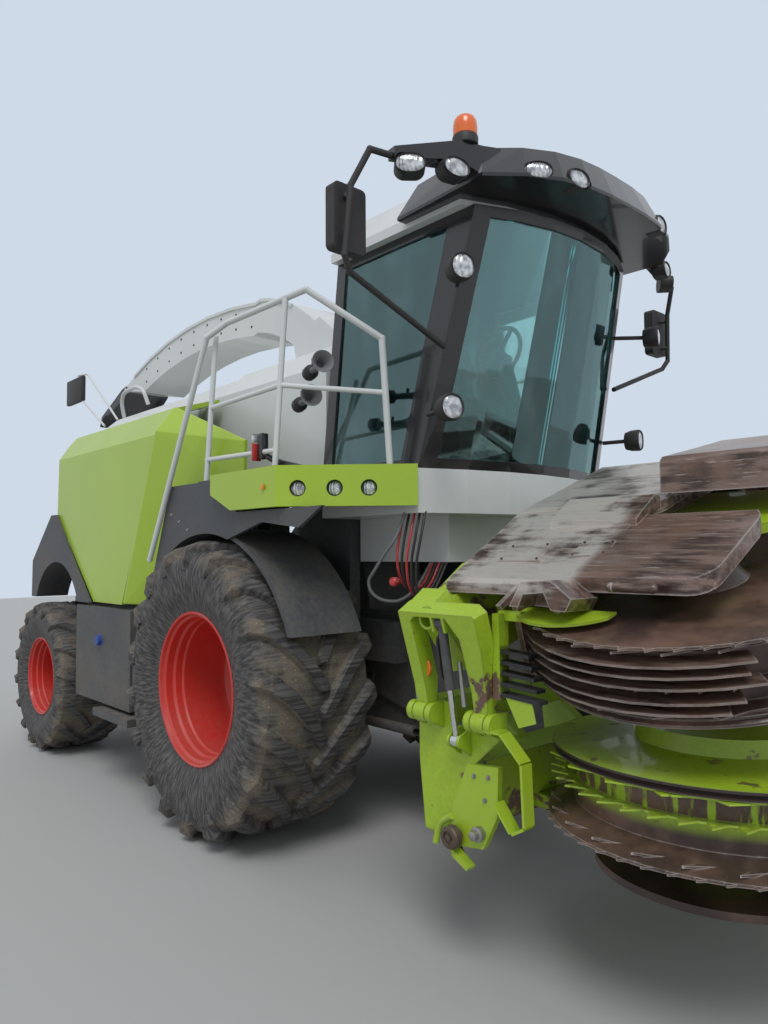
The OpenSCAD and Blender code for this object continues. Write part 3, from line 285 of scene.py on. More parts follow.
lug_stations = [
    # share of the half width, share of the way from bead to tip, height, tilt in degrees, and half width
    # at the foot
    (-0.06, 0.88, 0.046, 0, 0.028), (0.0, 0.88, 0.056, 0, 0.034), (0.18, 0.88, 0.058, 2, 0.038),
    (0.38, 0.875, 0.060, 4, 0.041), (0.58, 0.865, 0.064, 8, 0.045), (0.76, 0.84, 0.069, 17, 0.050),
    (0.90, 0.785, 0.066, 33, 0.056), (0.965, 0.70, 0.034, 66, 0.052), (0.99, 0.60, 0.012, 84, 0.036),
]
lug_section = [
    # half widths across, share of the height, and metres outward from there
    (-1.35, 0, -0.03), (-0.92, 1, -0.009), (-0.74, 1, 0.0), (0.74, 1, 0.0), (0.92, 1, -0.009),
    (1.35, 0, -0.03),
]
lug_sweep = math.radians(25)
# The lugs are drawn for a tyre of this radius and half width, and scaled to the others.
lug_tyre_radius = 0.975
lug_tyre_half = 0.395
rim_profile = [
    # share of the bead radius, and place outward from the rim's middle as a share of its half width
    (1.045, 1.0), (1.03, 1.018), (1.006, 1.004), (0.992, 0.94), (0.962, 0.90), (0.957, 0.76), (0.93, 0.71),
    (0.925, 0.58), (0.905, 0.54),
]
rim_gap = 0.004
rim_steps = 72
hub_bore = 0.0903
nut_profile = [
    (0.0, 0.0), (0.019, 0.0), (0.019, 0.004), (0.016, 0.004), (0.016, 0.022), (0.009, 0.024), (0.009, 0.034),
    (0.0, 0.036),
]
nut_count = 10
red_enamel = painted("red_enamel", (0.60, 0.022, 0.014), 0.36, 0.28, coat=0.3, depth=0.0002)
dark_nut = painted("dark_wheel_nut", (0.05, 0.045, 0.04), 0.5, 0.6, metal=0.7)
rubber_dark = (0.028, 0.026, 0.026)
rubber_scuffed = (0.125, 0.118, 0.115)
mud_colour = (0.175, 0.145, 0.11)
straw_colour = (0.42, 0.34, 0.20)


def loft(shape, rings, slot=0, looped=False):
    """Faces between rings of points, one after the other; a loft that isn't looped is closed at its ends."""
    made = [[shape.verts.new(p) for p in ring] for ring in rings]
    pairs = list(zip(made, made[1:]))
    if looped:
        pairs.append((made[-1], made[0]))
    for a, b in pairs:
        for i in range(len(a)):
            j = (i + 1) % len(a)
            shape.faces.new((a[i], a[j], b[j], b[i])).material_index = slot
    if not looped:
        shape.faces.new(made[0][::-1]).material_index = slot
        shape.faces.new(made[-1]).material_index = slot


def turned(shape, profile, centre, axis, steps=32, slot=0, ring=False):
    """A form spun on an axis from radii and places along it: a closed ring, or a form with end caps."""
    axis = Vector(axis).normalized()
    spoke = axis.orthogonal().normalized()
    old = set(shape.faces)
    points = [shape.verts.new(Vector(centre) + axis * h + spoke * max(r, 0.0004)) for r, h in profile]
    pairs = list(zip(points, points[1:]))
    if ring:
        pairs.append((points[-1], points[0]))
    edges = [shape.edges.new(pair) for pair in pairs]
    bmesh.ops.spin(shape, geom=points + edges, cent=Vector(centre), axis=axis, angle=2 * math.pi,
        steps=steps, use_merge=True)
    bmesh.ops.holes_fill(shape, edges=[e for e in shape.edges if e.is_boundary], sides=0)
    for face in set(shape.faces) - old:
        face.material_index = slot


def piece(name, shape, body, *materials, crease=32):
    """A mesh object of its own, smooth but for folds sharper than the crease, that rides on a body."""
    bmesh.ops.recalc_face_normals(shape, faces=shape.faces)
    mesh = bpy.data.meshes.new(name)
    shape.to_mesh(mesh)
    shape.free()
    for material in materials:
        mesh.materials.append(material)
    mesh.shade_smooth()
    mesh.set_sharp_from_angle(angle=math.radians(crease))
    made = bpy.data.objects.new(name, mesh)
    bpy.context.scene.collection.objects.link(made)
    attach(made, body)
    return made


def rubber(name, wheel):
    """Tyre rubber: scuffed sidewall, mud and straw in the tread's floor, lug tops rubbed dark."""
    material = bpy.data.materials.new(name)
    tree = tree_of(material)
    radius = wheel["radius"]
    depth = radius - wheel["bead"]
    along = calc(tree, "SUBTRACT", position(tree, 0), wheel["x"])
    up = calc(tree, "SUBTRACT", position(tree, 2), radius)
    reach = calc(tree, "SQRT", calc(tree, "ADD", times(tree, along, along), times(tree, up, up)))
    around = calc(tree, "ARCTAN2", up, along)
    polar = add(tree, "ShaderNodeCombineXYZ")
    wire(tree, times(tree, around, 26.0), polar.inputs[0])
    wire(tree, times(tree, reach, 7.0), polar.inputs[1])
    scuffs = add(tree, "ShaderNodeTexNoise", Scale=1.6, Detail=5, Roughness=0.65)
    wire(tree, polar.outputs[0], scuffs.inputs["Vector"])
    grain = noise(tree, 70, 3)
    broad = noise(tree, 5, 5)
    straw = rising(tree, noise(tree, 60, 2, (1, 1, 3)), 0.60, 0.70)
    past_flank = rising(tree, reach, radius - 0.34 * depth, radius - 0.20 * depth)
    below_tops = falling(tree, reach, radius - 0.028, radius - 0.006)
    mud = times(tree, past_flank, below_tops, rising(tree, broad, 0.36, 0.62))
    grey = tint(tree, rising(tree, scuffs.outputs[0], 0.38, 0.66), rubber_dark, rubber_scuffed)
    dusty = tint(tree, times(tree, mud, 0.8), grey, mud_colour)
    flecked = tint(tree, times(tree, mud, straw, 0.8), dusty, straw_colour)
    height = calc(tree, "MULTIPLY_ADD", grain, 0.35, times(tree, mud, broad))
    shine = calc(tree, "MULTIPLY_ADD", mud, 0.25, 0.62)
    surface(tree, height, 0.006, Base_Color=flecked, Roughness=shine)
    return material


def tread_tyre(shape, wheel, side):
    """A carcass spun from its profile, under two rows of swept lugs half a step apart."""
    radius, half, bead, lugs = (wheel[size] for size in ("radius", "half", "bead", "lugs"))
    depth = radius - bead
    size = radius / lug_tyre_radius
    sweep = lug_sweep * half / lug_tyre_half / size
    middle = Vector((wheel["x"], side * wheel["y"], radius))
    outer = [(bead + rise * depth, share * half) for share, rise in carcass_profile]
    profile = outer + [(reach, -out) for reach, out in reversed(outer)]
    turned(shape, profile, middle, (0, side, 0), lugs * carcass_steps_a_lug, 0, True)

    def at(out, reach, angle):
        return middle + Vector((reach * math.cos(angle), side * out, reach * math.sin(angle)))

    for start, hand in [(i + hand / 4, hand) for i in range(lugs) for hand in (-1, 1)]:
        line = []
        for share, rise, height, tilt, foot in lug_stations:
            way = max(share, 0)
            angle = 2 * math.pi * start / lugs + sweep * (1.45 * way - 0.45 * way ** 2)
            lean = math.radians(tilt)
            base = at(hand * share * half, bead + rise * depth, angle)
            tip = at(hand * (share * half + math.sin(lean)), bead + rise * depth + math.cos(lean), angle)
            line.append((base, (tip - base).normalized(), height * size, foot * size))
        rings = []
        for k, (base, out, height, foot) in enumerate(line):
            run = (line[min(k + 1, len(line) - 1)][0] - line[max(k - 1, 0)][0]).normalized()
            wide = out.cross(run).normalized() * foot
            levels = [(base + out * (height * top + lift), across) for across, top, lift in lug_section]
            rings.append([level + wide * across for level, across in levels])
        loft(shape, rings)


def dished_rim(shape, wheel, side):
    """A rim spun from its closed profile, with its nuts standing on the hub face."""
    bead = wheel["bead"] - rim_gap
    half, hub_in, cone = (wheel[size] for size in ("rim_half", "hub_in", "cone"))
    middle = (wheel["x"], side * (wheel["y"] + wheel["rim_shift"]), wheel["radius"])
    profile = [(bead * reach, half * out) for reach, out in rim_profile]
    profile += [(bead * 0.90, -0.40 * hub_in), (bead * 0.87, -0.55 * hub_in), (cone + 0.03, 0.03 - hub_in),
        (cone, 0.02 - hub_in), (hub_bore, 0.02 - hub_in), (hub_bore, -hub_in), (cone - 0.005, -hub_in),
        (bead - 0.012, -0.55 * hub_in), (bead - 0.012, -half), (bead * 1.045, -half),
        (bead * 1.045, 0.013 - half), (bead * 0.998, 0.016 - half), (bead * 0.998, half - 0.016),
        (bead * 1.045, half - 0.013)]
    turned(shape, profile, middle, (0, side, 0), rim_steps, 0, True)
    nut_circle = 0.5 * (cone + 0.09) + 0.01
    for i in range(nut_count):
        angle = 2 * math.pi * (i + 0.3) / nut_count
        spot = Vector((nut_circle * math.cos(angle), side * (0.018 - hub_in), nut_circle * math.sin(angle)))
        turned(shape, nut_profile, Vector(middle) + spot, (0, side, 0), 6, 1)


for place, wheel in wheels.items():
    wheel_rubber = rubber(place + "_tyre_rubber", wheel)
    for side, hand in ((-1, "right"), (1, "left")):
        name = place + "_" + hand
        shape = bmesh.new()
        tread_tyre(shape, wheel, side)
        made = piece("tread_" + name, shape, "wheel_" + name, wheel_rubber, crease=28)
        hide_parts("tyre_" + name)
        shape = bmesh.new()
        dished_rim(shape, wheel, side)
        made = piece("rim_dish_" + name, shape, "wheel_" + name, red_enamel, dark_nut, crease=25)
        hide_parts("rim_" + name)

# Body panels
# Moulded and pressed covers in lime and off-white enamel, bolted and latched to the frame behind.
# The spout's sheets and the railings' tubes have the same off-white enamel.
lime = painted("lime_enamel", (0.36, 0.53, 0.022), 0.30, 0.22, coat=0.35, depth=0.0001)
pale = painted("off_white_enamel", (0.66, 0.68, 0.67), 0.33, 0.22, coat=0.25, depth=0.0001)
dress(lime, "lime_cladding", "side_panel_left", "side_panel_right")
dress(pale, "upper_body", "cab_base", "cab_roof", "spout_turret", "spout_arch", "railings")

# Cab
# Pressed frame and roof visor in gloss black, with bonded panes of turquoise-tinted safety glass.
# The lamp housings, the mirrors and the controls are moulded in dull black plastic.
gloss_black = painted("gloss_black_enamel", (0.012, 0.012, 0.014), 0.22, 0.16, coat=0.5, depth=0.0001)
dull_black = painted("black_plastic", (0.022, 0.022, 0.024), 0.55, 0.35)
pane_tint = (0.83, 0.955, 0.945, 1)
pane_mirror = (0.62, 0.95, 0.96, 1)
pane_grime = (0.42, 0.45, 0.45, 1)
pane_grime_share = 0.16
dress(gloss_black, "cab_frame", "cab_door", "roof_visor")
dress(dull_black, "cab_controls", "mirrors", "work_lamps")


def tinted_pane():
    """Tinted glass: light passes with the tint, the faces mirror the sky at a slant, and grime dulls it."""
    material = bpy.data.materials.new("tinted_glass")
    tree = tree_of(material)
    through = add(tree, "ShaderNodeBsdfTransparent", Color=pane_tint)
    gloss = add(tree, "ShaderNodeBsdfGlossy", Roughness=0.03, Color=pane_mirror)
    slant = add(tree, "ShaderNodeFresnel", IOR=1.5)
    clean = blend(tree, calc(tree, "ADD", slant.outputs[0], 0.12), through, gloss)
    grime = add(tree, "ShaderNodeBsdfDiffuse", Color=pane_grime)
    streaks = rising(tree, noise(tree, 6, 6, (1, 1, 0.25)), 0.45, 0.8)
    output(tree, blend(tree, times(tree, streaks, pane_grime_share), clean, grime))
    return material


dress(tinted_pane(), "cab_glass", "door_glass")

# Lamps
# Oval work lamps in black housings with chromed reflectors under ribbed clear lenses, and round ones on the
# pillars; three more round ones sit in the recesses of the lime bars over the front wheels.
oval_lamps = [
    # X, Y and Z of the middle of the housing's face, and degrees from straight ahead
    (2.670, 0.450, 3.920, 8), (2.565, 0.676, 3.930, 38), (2.360, 1.109, 3.883, 12),
    (2.260, 1.350, 3.862, 40),
]
oval_half_wide = 0.082
oval_half_high = 0.054
oval_lift = 0.006
pillar_lamps = [(2.250, 1.000, 3.385, 20), (2.115, 0.960, 2.653, 15)]
pillar_lamp_radius = 0.070
pillar_lamp_lift = 0.084
pillar_can = [
    (0.052, -0.10), (0.062, -0.098), (0.074, -0.06), (0.077, -0.01), (0.074, 0.004), (0.069, 0.002),
    (0.066, -0.01),
]
bar_lamps = [(1.413, 1.456, 2.235), (1.564, 1.302, 2.235), (1.703, 1.161, 2.235)]
bar_lamp_aim = (0.713, 0.701)
bar_lamp_radius = 0.047
bar_lamp_depth = 0.03
bar_can = [(0.046, -0.05), (0.0475, -0.05), (0.0475, 0.0), (0.046, 0.002)]
lens_swell = 0.012


def lens_material():
    """Clear ribbed lens over a bright reflector, seen as one glossy grey-white face with painted reflections.
    """
    material = bpy.data.materials.new("ribbed_lamp_lens")
    tree = tree_of(material)
    ribs = add(tree, "ShaderNodeTexWave", Scale=22, Distortion=1.5)
    place = add(tree, "ShaderNodeTexCoord")
    wire(tree, place.outputs["Object"], ribs.inputs["Vector"])
    # Grey-white for the chrome reflector behind the glass, mottled into light and dark patches that are
    # painted reflections.
    reflector_tone_and_painted_glints = tint(tree, rising(tree, noise(tree, 24, 4), 0.35, 0.65), (0.30, 0.32, 0.34), (0.80, 0.82, 0.84))
    surface(tree, ribs.outputs[1], 0.004, Base_Color=reflector_tone_and_painted_glints, Roughness=0.16, Metallic=0.55, Coat_Weight=1.0)
    return material


def lamp_aim(side, yaw):
    """The level way a lamp looks, turned outward from straight ahead by degrees."""
    return Vector((math.cos(math.radians(yaw)), side * math.sin(math.radians(yaw)), 0))


def oval_lens(shape, middle, aim, half_wide, half_high, rim):
    """A domed oval glass in slot 0 inside a raised bezel ring in slot 1."""
    out = aim.normalized()
    wide = Vector((0, 0, 1)).cross(out).normalized()
    high = out.cross(wide)

    def ring(share, inset, lift):
        points = []
        for i in range(32):
            a = 2 * math.pi * i / 32
            x = math.copysign(abs(math.cos(a)) ** 0.85, math.cos(a)) * (half_wide - inset) * share
            y = math.copysign(abs(math.sin(a)) ** 0.95, math.sin(a)) * (half_high - inset) * share
            points.append(middle + wide * x + high * y + out * lift)
        return points

    loft(shape, [ring(share, rim, lens_swell * (1 - share ** 2)) for share in (1.0, 0.92, 0.7, 0.4, 0.1)], 0)
    bezel = [ring(1, rim, -0.004), ring(1, rim, 0.005), ring(1, rim * 0.4, 0.009), ring(1, 0, 0.004),
        ring(1, 0, -0.004)]
    loft(shape, bezel, 1, True)


lamp_lens = lens_material()
for side, hand in ((-1, "right"), (1, "left")):
    shape = bmesh.new()
    for x, y, z, yaw in oval_lamps:
        aim = lamp_aim(side, yaw)
        middle = Vector((x, side * y, z)) + aim * oval_lift
        oval_lens(shape, middle, aim, oval_half_wide, oval_half_high, 0.007)
    for x, y, z, yaw in pillar_lamps:
        aim = lamp_aim(side, yaw)
        middle = Vector((x, side * y, z)) + aim * pillar_lamp_lift
        oval_lens(shape, middle, aim, pillar_lamp_radius, pillar_lamp_radius, 0.006)
        turned(shape, pillar_can, middle, aim, 32, 1)
    for x, y, z in bar_lamps:
        aim = Vector((bar_lamp_aim[0], side * bar_lamp_aim[1], 0))
        middle = Vector((x, side * y, z)) - aim * bar_lamp_depth
        oval_lens(shape, middle, aim, bar_lamp_radius, bar_lamp_radius, 0.006)
        turned(shape, bar_can, middle, aim, 28, 1)
    piece("lamp_glasses_" + hand, shape, "chassis", lamp_lens, dull_black)

# Beacon
# An amber dome of moulded plastic on a black rubber-footed base.
# It is screwed to the right lamp arm.
beacon_place = (2.315, -0.985, 4.058)
beacon_base = [(0.066, 0.0), (0.070, 0.004), (0.071, 0.045), (0.067, 0.052), (0.060, 0.054)]
beacon_glass = [
    (0.061, 0.052), (0.066, 0.056), (0.067, 0.10), (0.063, 0.135), (0.052, 0.156), (0.034, 0.168),
    (0.012, 0.173),
]
amber = painted("amber_plastic", (0.85, 0.16, 0.02), 0.25, 0.1, coat=0.5)
shape = bmesh.new()
turned(shape, beacon_base, beacon_place, (0, 0, 1), 40, 1)
turned(shape, beacon_glass, beacon_place, (0, 0, 1), 40, 0)
made = piece("beacon_dome", shape, "chassis", amber, dull_black)
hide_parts("beacon")

# Header skids
# Steel skids and shields on the folded wings, ground bright by the soil where they lead and rusty brown
# behind, the metal still wet and streaked along the travel.
skid_rust = ((0.060, 0.036, 0.030), (0.190, 0.112, 0.080))
skid_wet = (0.235, 0.160, 0.130)
skid_silver = ((0.40, 0.36, 0.32), (0.62, 0.58, 0.53))
skid_scratch = (0.50, 0.44, 0.40)
skid_edge = (0.55, 0.50, 0.47)
bright_to_x = (3.20, 3.27)
bright_from_z = (1.66, 1.72)


def worn_edge(tree, width, grain):
    """1 on sharp edges and 0 on flat faces, broken up by a noise value."""
    face = add(tree, "ShaderNodeNewGeometry")
    round_face = add(tree, "ShaderNodeBevel", samples=4, Radius=width)
    turn = add(tree, "ShaderNodeVectorMath", operation="DOT_PRODUCT")
    wire(tree, face.outputs["Normal"], turn.inputs[0])
    wire(tree, round_face.outputs[0], turn.inputs[1])
    bend = calc(tree, "SUBTRACT", 1.0, turn.outputs["Value"])
    rough_bend = calc(tree, "MULTIPLY_ADD", calc(tree, "SUBTRACT", grain, 0.5), 0.5, bend)
    return rising(tree, rough_bend, 0.10, 0.22)


def scraped_plate():
    """Bright scraped steel where the skid leads, wet rust behind, with pale edges and scratches."""
    material = bpy.data.materials.new("scraped_skid_steel")
    tree = tree_of(material)
    broad = noise(tree, 3.2, 6)
    streak = noise(tree, 26, 5, (0.14, 1, 1))
    fine_streak = noise(tree, 90, 4, (0.08, 1, 1))
    rust = tint(tree, rising(tree, broad, 0.38, 0.62), *skid_rust)
    wet = tint(tree, rising(tree, streak, 0.42, 0.60), rust, skid_wet)
    high = rising(tree, position(tree, 2), *bright_from_z)
    leading = times(tree, falling(tree, position(tree, 0), *bright_to_x), high)
    cloud = calc(tree, "MULTIPLY_ADD", streak, 0.3, times(tree, broad, 0.7))
    silver = tint(tree, fine_streak, *skid_silver)
    bright = tint(tree, times(tree, leading, rising(tree, cloud, 0.40, 0.54)), wet, silver)
    scratches = times(tree, rising(tree, fine_streak, 0.62, 0.68), high, 0.65)
    scratched = tint(tree, scratches, bright, skid_scratch)
    edge = times(tree, worn_edge(tree, 0.014, noise(tree, 30, 5)), 0.85)
    worn = tint(tree, edge, scratched, skid_edge)
    shine = calc(tree, "MULTIPLY_ADD", broad, 0.30, 0.18)
    height = calc(tree, "MULTIPLY_ADD", noise(tree, 60, 4), 0.5, streak)
    surface(tree, height, 0.0022, Base_Color=worn, Roughness=shine, Metallic=0.35, Coat_Weight=0.25)
    return material


scraped = scraped_plate()
dress(scraped, "skids_right", "skids_left")

# Header rotors and wings
# Welded drums with rings of saw teeth, hooks and triangle teeth. The lime enamel has worn off the rings to
# rusty brown steel, the belt rims are dark, and the knives' tips are ground bright by the crop.
worn_enamel = ((0.28, 0.42, 0.02), (0.42, 0.60, 0.03))
rotor_rust = ((0.050, 0.030, 0.026), (0.165, 0.095, 0.068))
wing_rust = ((0.050, 0.030, 0.026), (0.150, 0.088, 0.065))
belt_colour = (0.035, 0.022, 0.020)
knife_colour = (0.48, 0.43, 0.39)
slat_colour = (0.016, 0.016, 0.018)
# Heights of the belt rim and of the drum's smeared band: each fades in and out between two values.
belt_zone = (1.003, 1.007, 1.039, 1.043)
band_zone = (0.905, 0.912, 0.985, 0.992)
# The black slats at the wing's end: their X from back to front, their inner edge and their upper edge.
slat_zone_x = (2.925, 2.935, 3.20, 3.22)
slats_from_y = (1.425, 1.432)
slats_to_z = (1.462, 1.468)


def zone(tree, value, start, full, fade, end):
    """Rises from 0 at start to 1 at full, and falls back from fade to end."""
    return times(tree, rising(tree, value, start, full), falling(tree, value, fade, end))


def rotor_skin(name, rusty):
    """Lime enamel under rust and mud; rusty is the height below which the steel is bare."""
    material = bpy.data.materials.new(name)
    tree = tree_of(material)
    high = position(tree, 2)
    broad = noise(tree, 3.4, 6)
    grain = noise(tree, 48, 4)
    rust = tint(tree, rising(tree, broad, 0.36, 0.64), *rotor_rust)
    enamel = tint(tree, grain, *worn_enamel)
    bare = falling(tree, high, rusty - 0.03, rusty + 0.03)
    smears = rising(tree, noise(tree, 22, 5, (1, 1, 0.2)), 0.40, 0.52)
    smeared = times(tree, zone(tree, high, *band_zone), smears)
    spots = times(tree, rising(tree, noise(tree, 13, 6), 0.60, 0.66), 0.85)
    share = calc(tree, "MAXIMUM", calc(tree, "MAXIMUM", bare, smeared), spots)
    drum = tint(tree, zone(tree, high, *belt_zone), tint(tree, share, enamel, rust), belt_colour)
    edge = worn_edge(tree, 0.010, noise(tree, 34, 5))
    tips = times(tree, edge, calc(tree, "MULTIPLY_ADD", bare, 0.75, 0.12))
    ground = tint(tree, tips, drum, knife_colour)
    shine = calc(tree, "MULTIPLY_ADD", broad, 0.35, 0.22)
    surface(tree, grain, 0.0012, Base_Color=ground, Roughness=shine, Coat_Weight=0.2)
    return material


def wing_skin(name, dark_below_height):
    """Lime enamel with black guard slats at the wing's end; below the given height it turns dark brown."""
    material = bpy.data.materials.new(name)
    tree = tree_of(material)
    broad = noise(tree, 2.6, 6)
    grain = noise(tree, 48, 4)
    outer = rising(tree, calc(tree, "ABSOLUTE", position(tree, 1)), *slats_from_y)
    low = falling(tree, position(tree, 2), *slats_to_z)
    slats = times(tree, outer, zone(tree, position(tree, 0), *slat_zone_x), low)
    rust = tint(tree, rising(tree, broad, 0.36, 0.64), *wing_rust)
    enamel = tint(tree, grain, *worn_enamel)
    rubbed = rising(tree, calc(tree, "MULTIPLY_ADD", noise(tree, 18, 5), 0.35, broad), 0.79, 0.84)
    chipped = times(tree, worn_edge(tree, 0.012, grain), 0.6)
    # Dark brown below the given height.
    darker_low_share = falling(tree, position(tree, 2), dark_below_height - 0.01, dark_below_height + 0.02)
    share = calc(tree, "MAXIMUM", calc(tree, "MAXIMUM", rubbed, darker_low_share), chipped)
    slatted = tint(tree, slats, tint(tree, share, enamel, rust), slat_colour)
    shine = calc(tree, "MULTIPLY_ADD", broad, 0.3, 0.24)
    surface(tree, grain, 0.001, Base_Color=slatted, Roughness=shine, Coat_Weight=0.2)
    return material


dress(rotor_skin("main_rotor_steel", 0.86), "rotor_right", "rotor_left")
dress(rotor_skin("wing_rotor_steel", 2.10), "wing_rotor_right", "wing_rotor_left")
dress(wing_skin("wing_enamel", 0.2), "wing_right", "wing_left")
dress(wing_skin("header_enamel", 0.575), "header_frame")

# Header ends
# Cast and folded iron bolted to the header's end plates: a lime foot plate with its toe and a greasy brown
# road roller, a bent guard, a damper rod, an orange reflector and a bare plate. Two steel pipes are clamped
# along each fold cylinder.
foot_plate_y = 1.449
toe_y = 1.465
guard_y = 1.475
foot_plate = [(2.320, 0.933), (2.495, 0.952), (2.485, 0.739), (2.406, 0.590), (2.200, 0.558), (2.227, 0.722)]
toe_plate = [(2.215, 0.60), (2.235, 0.60), (2.255, 0.53), (2.34, 0.49), (2.35, 0.505), (2.275, 0.55)]
toe_bar = [(2.13, 0.55), (2.155, 0.645), (2.23, 0.69)]
bent_guard = [(2.46, 1.105), (2.55, 1.105), (2.655, 1.005), (2.665, 0.76), (2.605, 0.725), (2.52, 0.825)]
lime_tab = [(2.555, 1.255), (2.685, 1.26), (2.705, 1.17), (2.62, 1.14)]
damper_lug = [(2.312, 1.545), (2.385, 1.545), (2.415, 1.42), (2.365, 1.40)]
roller_profile = [
    (0.0, -0.05), (0.028, -0.05), (0.028, 0.0), (0.046, 0.0), (0.050, 0.006), (0.050, 0.036), (0.044, 0.044),
    (0.030, 0.046), (0.028, 0.038), (0.012, 0.038), (0.012, 0.046), (0.0, 0.048),
]
foot_pin_profile = [
    (0.0, -0.03), (0.030, -0.03), (0.032, 0.002), (0.021, 0.006), (0.019, 0.030), (0.013, 0.034),
    (0.0, 0.036),
]
reflector_profile = [(0.0, 0.0), (0.047, 0.0), (0.047, 0.010), (0.044, 0.013), (0.0, 0.014)]
upper_pin_profile = [(0.0, 0.0), (0.017, 0.0), (0.017, 0.012), (0.0, 0.013)]
lower_pin_profile = [(0.0, 0.0), (0.014, 0.0), (0.014, 0.010), (0.0, 0.011)]
end_discs = [
    # profile, X, Y and Z from the axle, steps and slot: roller, foot pin, damper pins and reflector
    (roller_profile, (2.262, 1.50, 0.615), 32, 2), (foot_pin_profile, (2.392, 1.505, 0.655), 24, 1),
    (upper_pin_profile, (2.350, 1.538, 1.50), 20, 3), (lower_pin_profile, (2.382, 1.538, 1.443), 20, 3),
    (reflector_profile, (2.085, 1.502, 1.33), 32, 4),
]
damper_sleeve = [(2.392, 1.52, 1.42), (2.418, 1.52, 1.30)]
damper_rod = [(2.32, 1.52, 1.38), (2.345, 1.52, 1.19)]
bare_plate_low = (2.035, 1.495, 1.145)
bare_plate_high = (2.105, 1.508, 1.215)
end_bolts = [
    (2.05, 1.508, 1.195), (2.09, 1.508, 1.165), (2.42, 1.479, 0.80), (2.36, 1.479, 0.89), (2.44, 1.479, 0.90),
]
fold_pipe = [(2.262, 1.578, 1.505), (2.236, 1.575, 1.475), (2.236, 1.549, 1.305), (2.262, 1.546, 1.275)]
fold_pipe_radius = 0.007
fold_pipe_pitch = 0.016
brown_iron = painted("brown_iron", (0.105, 0.070, 0.055), 0.5, 0.5, metal=0.5, depth=0.001)
orange_glass = painted("orange_reflector", (0.90, 0.22, 0.01), 0.22, 0.08, coat=0.8, depth=0.0001)


def from_axle(side, x, y, z):
    """A point measured from the front axle's middle, on one side of the machine."""
    return Vector((x + front_x, side * y, z))


def tube(shape, path, radius, slot=0, bend=0.05, steps=12):
    """A round bar or pipe along a line of points, its corners bent to a radius."""
    path = [Vector(p) for p in path]
    line = [path[0]]
    for before, at, after in zip(path, path[1:], path[2:]):
        near = min(bend, (before - at).length * 0.45)
        far = min(bend, (after - at).length * 0.45)
        start = at + (before - at).normalized() * near
        end = at + (after - at).normalized() * far
        for t in (0, 0.2, 0.4, 0.6, 0.8, 1):
            line.append(start * (1 - t) ** 2 + at * 2 * t * (1 - t) + end * t ** 2)
    line.append(path[-1])
    across = (line[1] - line[0]).orthogonal().normalized()
    turns = [2 * math.pi * k / steps for k in range(steps)]
    rings = []
    for i, spot in enumerate(line):
        along = (line[min(i + 1, len(line) - 1)] - line[max(i - 1, 0)]).normalized()
        across = (across - along * across.dot(along)).normalized()
        other = along.cross(across)
        rings.append([spot + (across * math.cos(a) + other * math.sin(a)) * radius for a in turns])
    loft(shape, rings, slot)


def block(shape, low, high, edge=0.004, slot=0):
    """A box between two corners with rolled edges."""
    low, high = Vector(low), Vector(high)
    size = [abs(b - a) for a, b in zip(low, high)]
    matrix = Matrix.Translation((low + high) / 2) @ Matrix.Diagonal((*size, 1))
    made = bmesh.ops.create_cube(shape, size=1, matrix=matrix)
    edges = list({e for v in made["verts"] for e in v.link_edges})
    rolled = bmesh.ops.bevel(shape, geom=edges, offset=edge, affect="EDGES", segments=2, profile=0.5,
        material=-1)
    for face in {f for v in rolled["verts"] for f in v.link_faces} | set(rolled["faces"]):
        face.material_index = slot


def slab(shape, outline, depth, slot=0):
    """A plate from its outline in space and the vector of its thickness."""
    old = set(shape.faces)
    face = shape.faces.new([shape.verts.new(point) for point in outline])
    lifted = bmesh.ops.extrude_face_region(shape, geom=[face])["geom"]
    verts = [part for part in lifted if isinstance(part, bmesh.types.BMVert)]
    bmesh.ops.translate(shape, vec=Vector(depth), verts=verts)
    for face in set(shape.faces) - old:
        face.material_index = slot


def end_plate(shape, side, outline, y, thick, slot=0):
    """An upright plate along the header's end, from its outline in X and Z and its inner face."""
    slab(shape, [from_axle(side, x, y, z) for x, z in outline], (0, side * thick, 0), slot)


def bolt(shape, spot, axis, radius, slot=0):
    """A hexagon head on its washer."""
    turned(shape, [(0.0, -0.002), (radius * 1.55, -0.002), (radius * 1.55, 0.002), (radius, 0.0025),
        (radius, 0.009), (radius * 0.8, 0.011), (0.0, 0.011)], spot, axis, 6, slot)


for side, hand in ((-1, "right"), (1, "left")):
    outward = (0, side, 0)
    shape = bmesh.new()
    end_plate(shape, side, foot_plate, foot_plate_y, 0.030)
    end_plate(shape, side, toe_plate, toe_y, 0.05)
    tube(shape, [from_axle(side, x, toe_y + 0.02, z) for x, z in toe_bar], 0.016)
    guard = [from_axle(side, x, guard_y, z) for x, z in bent_guard]
    for a, b in zip(guard, guard[1:]):
        inward = (b - a).cross(Vector((0, 1, 0))).normalized() * 0.012
        slab(shape, [a, b, b + inward, a + inward], (0, side * 0.065, 0))
    end_plate(shape, side, lime_tab, 1.49, 0.006)
    end_plate(shape, side, damper_lug, 1.505, 0.035, 1)
    for profile, spot, steps, slot in end_discs:
        turned(shape, profile, from_axle(side, *spot), outward, steps, slot)
    tube(shape, [from_axle(side, *point) for point in damper_sleeve], 0.024, 3)
    block(shape, from_axle(side, *bare_plate_low), from_axle(side, *bare_plate_high), 0.003, 5)
    for spot in end_bolts:
        bolt(shape, from_axle(side, *spot), outward, 0.008, 1)
    piece("header_end_fittings_" + hand, shape, "feeder", lime, bare_steel, brown_iron, dull_black,
        orange_glass, pale)

    shape = bmesh.new()
    for shift in (0.0, fold_pipe_pitch):
        route = [from_axle(side, x, y - shift, z) for x, y, z in fold_pipe]
        tube(shape, route, fold_pipe_radius, 0, 0.02)
    piece("fold_cylinder_pipes_" + hand, shape, "fold_cylinder_" + hand, dull_black)

    shape = bmesh.new()
    tube(shape, [from_axle(side, *point) for point in damper_rod], 0.011)
    piece("header_damper_rod_" + hand, shape, "feeder", bare_steel)

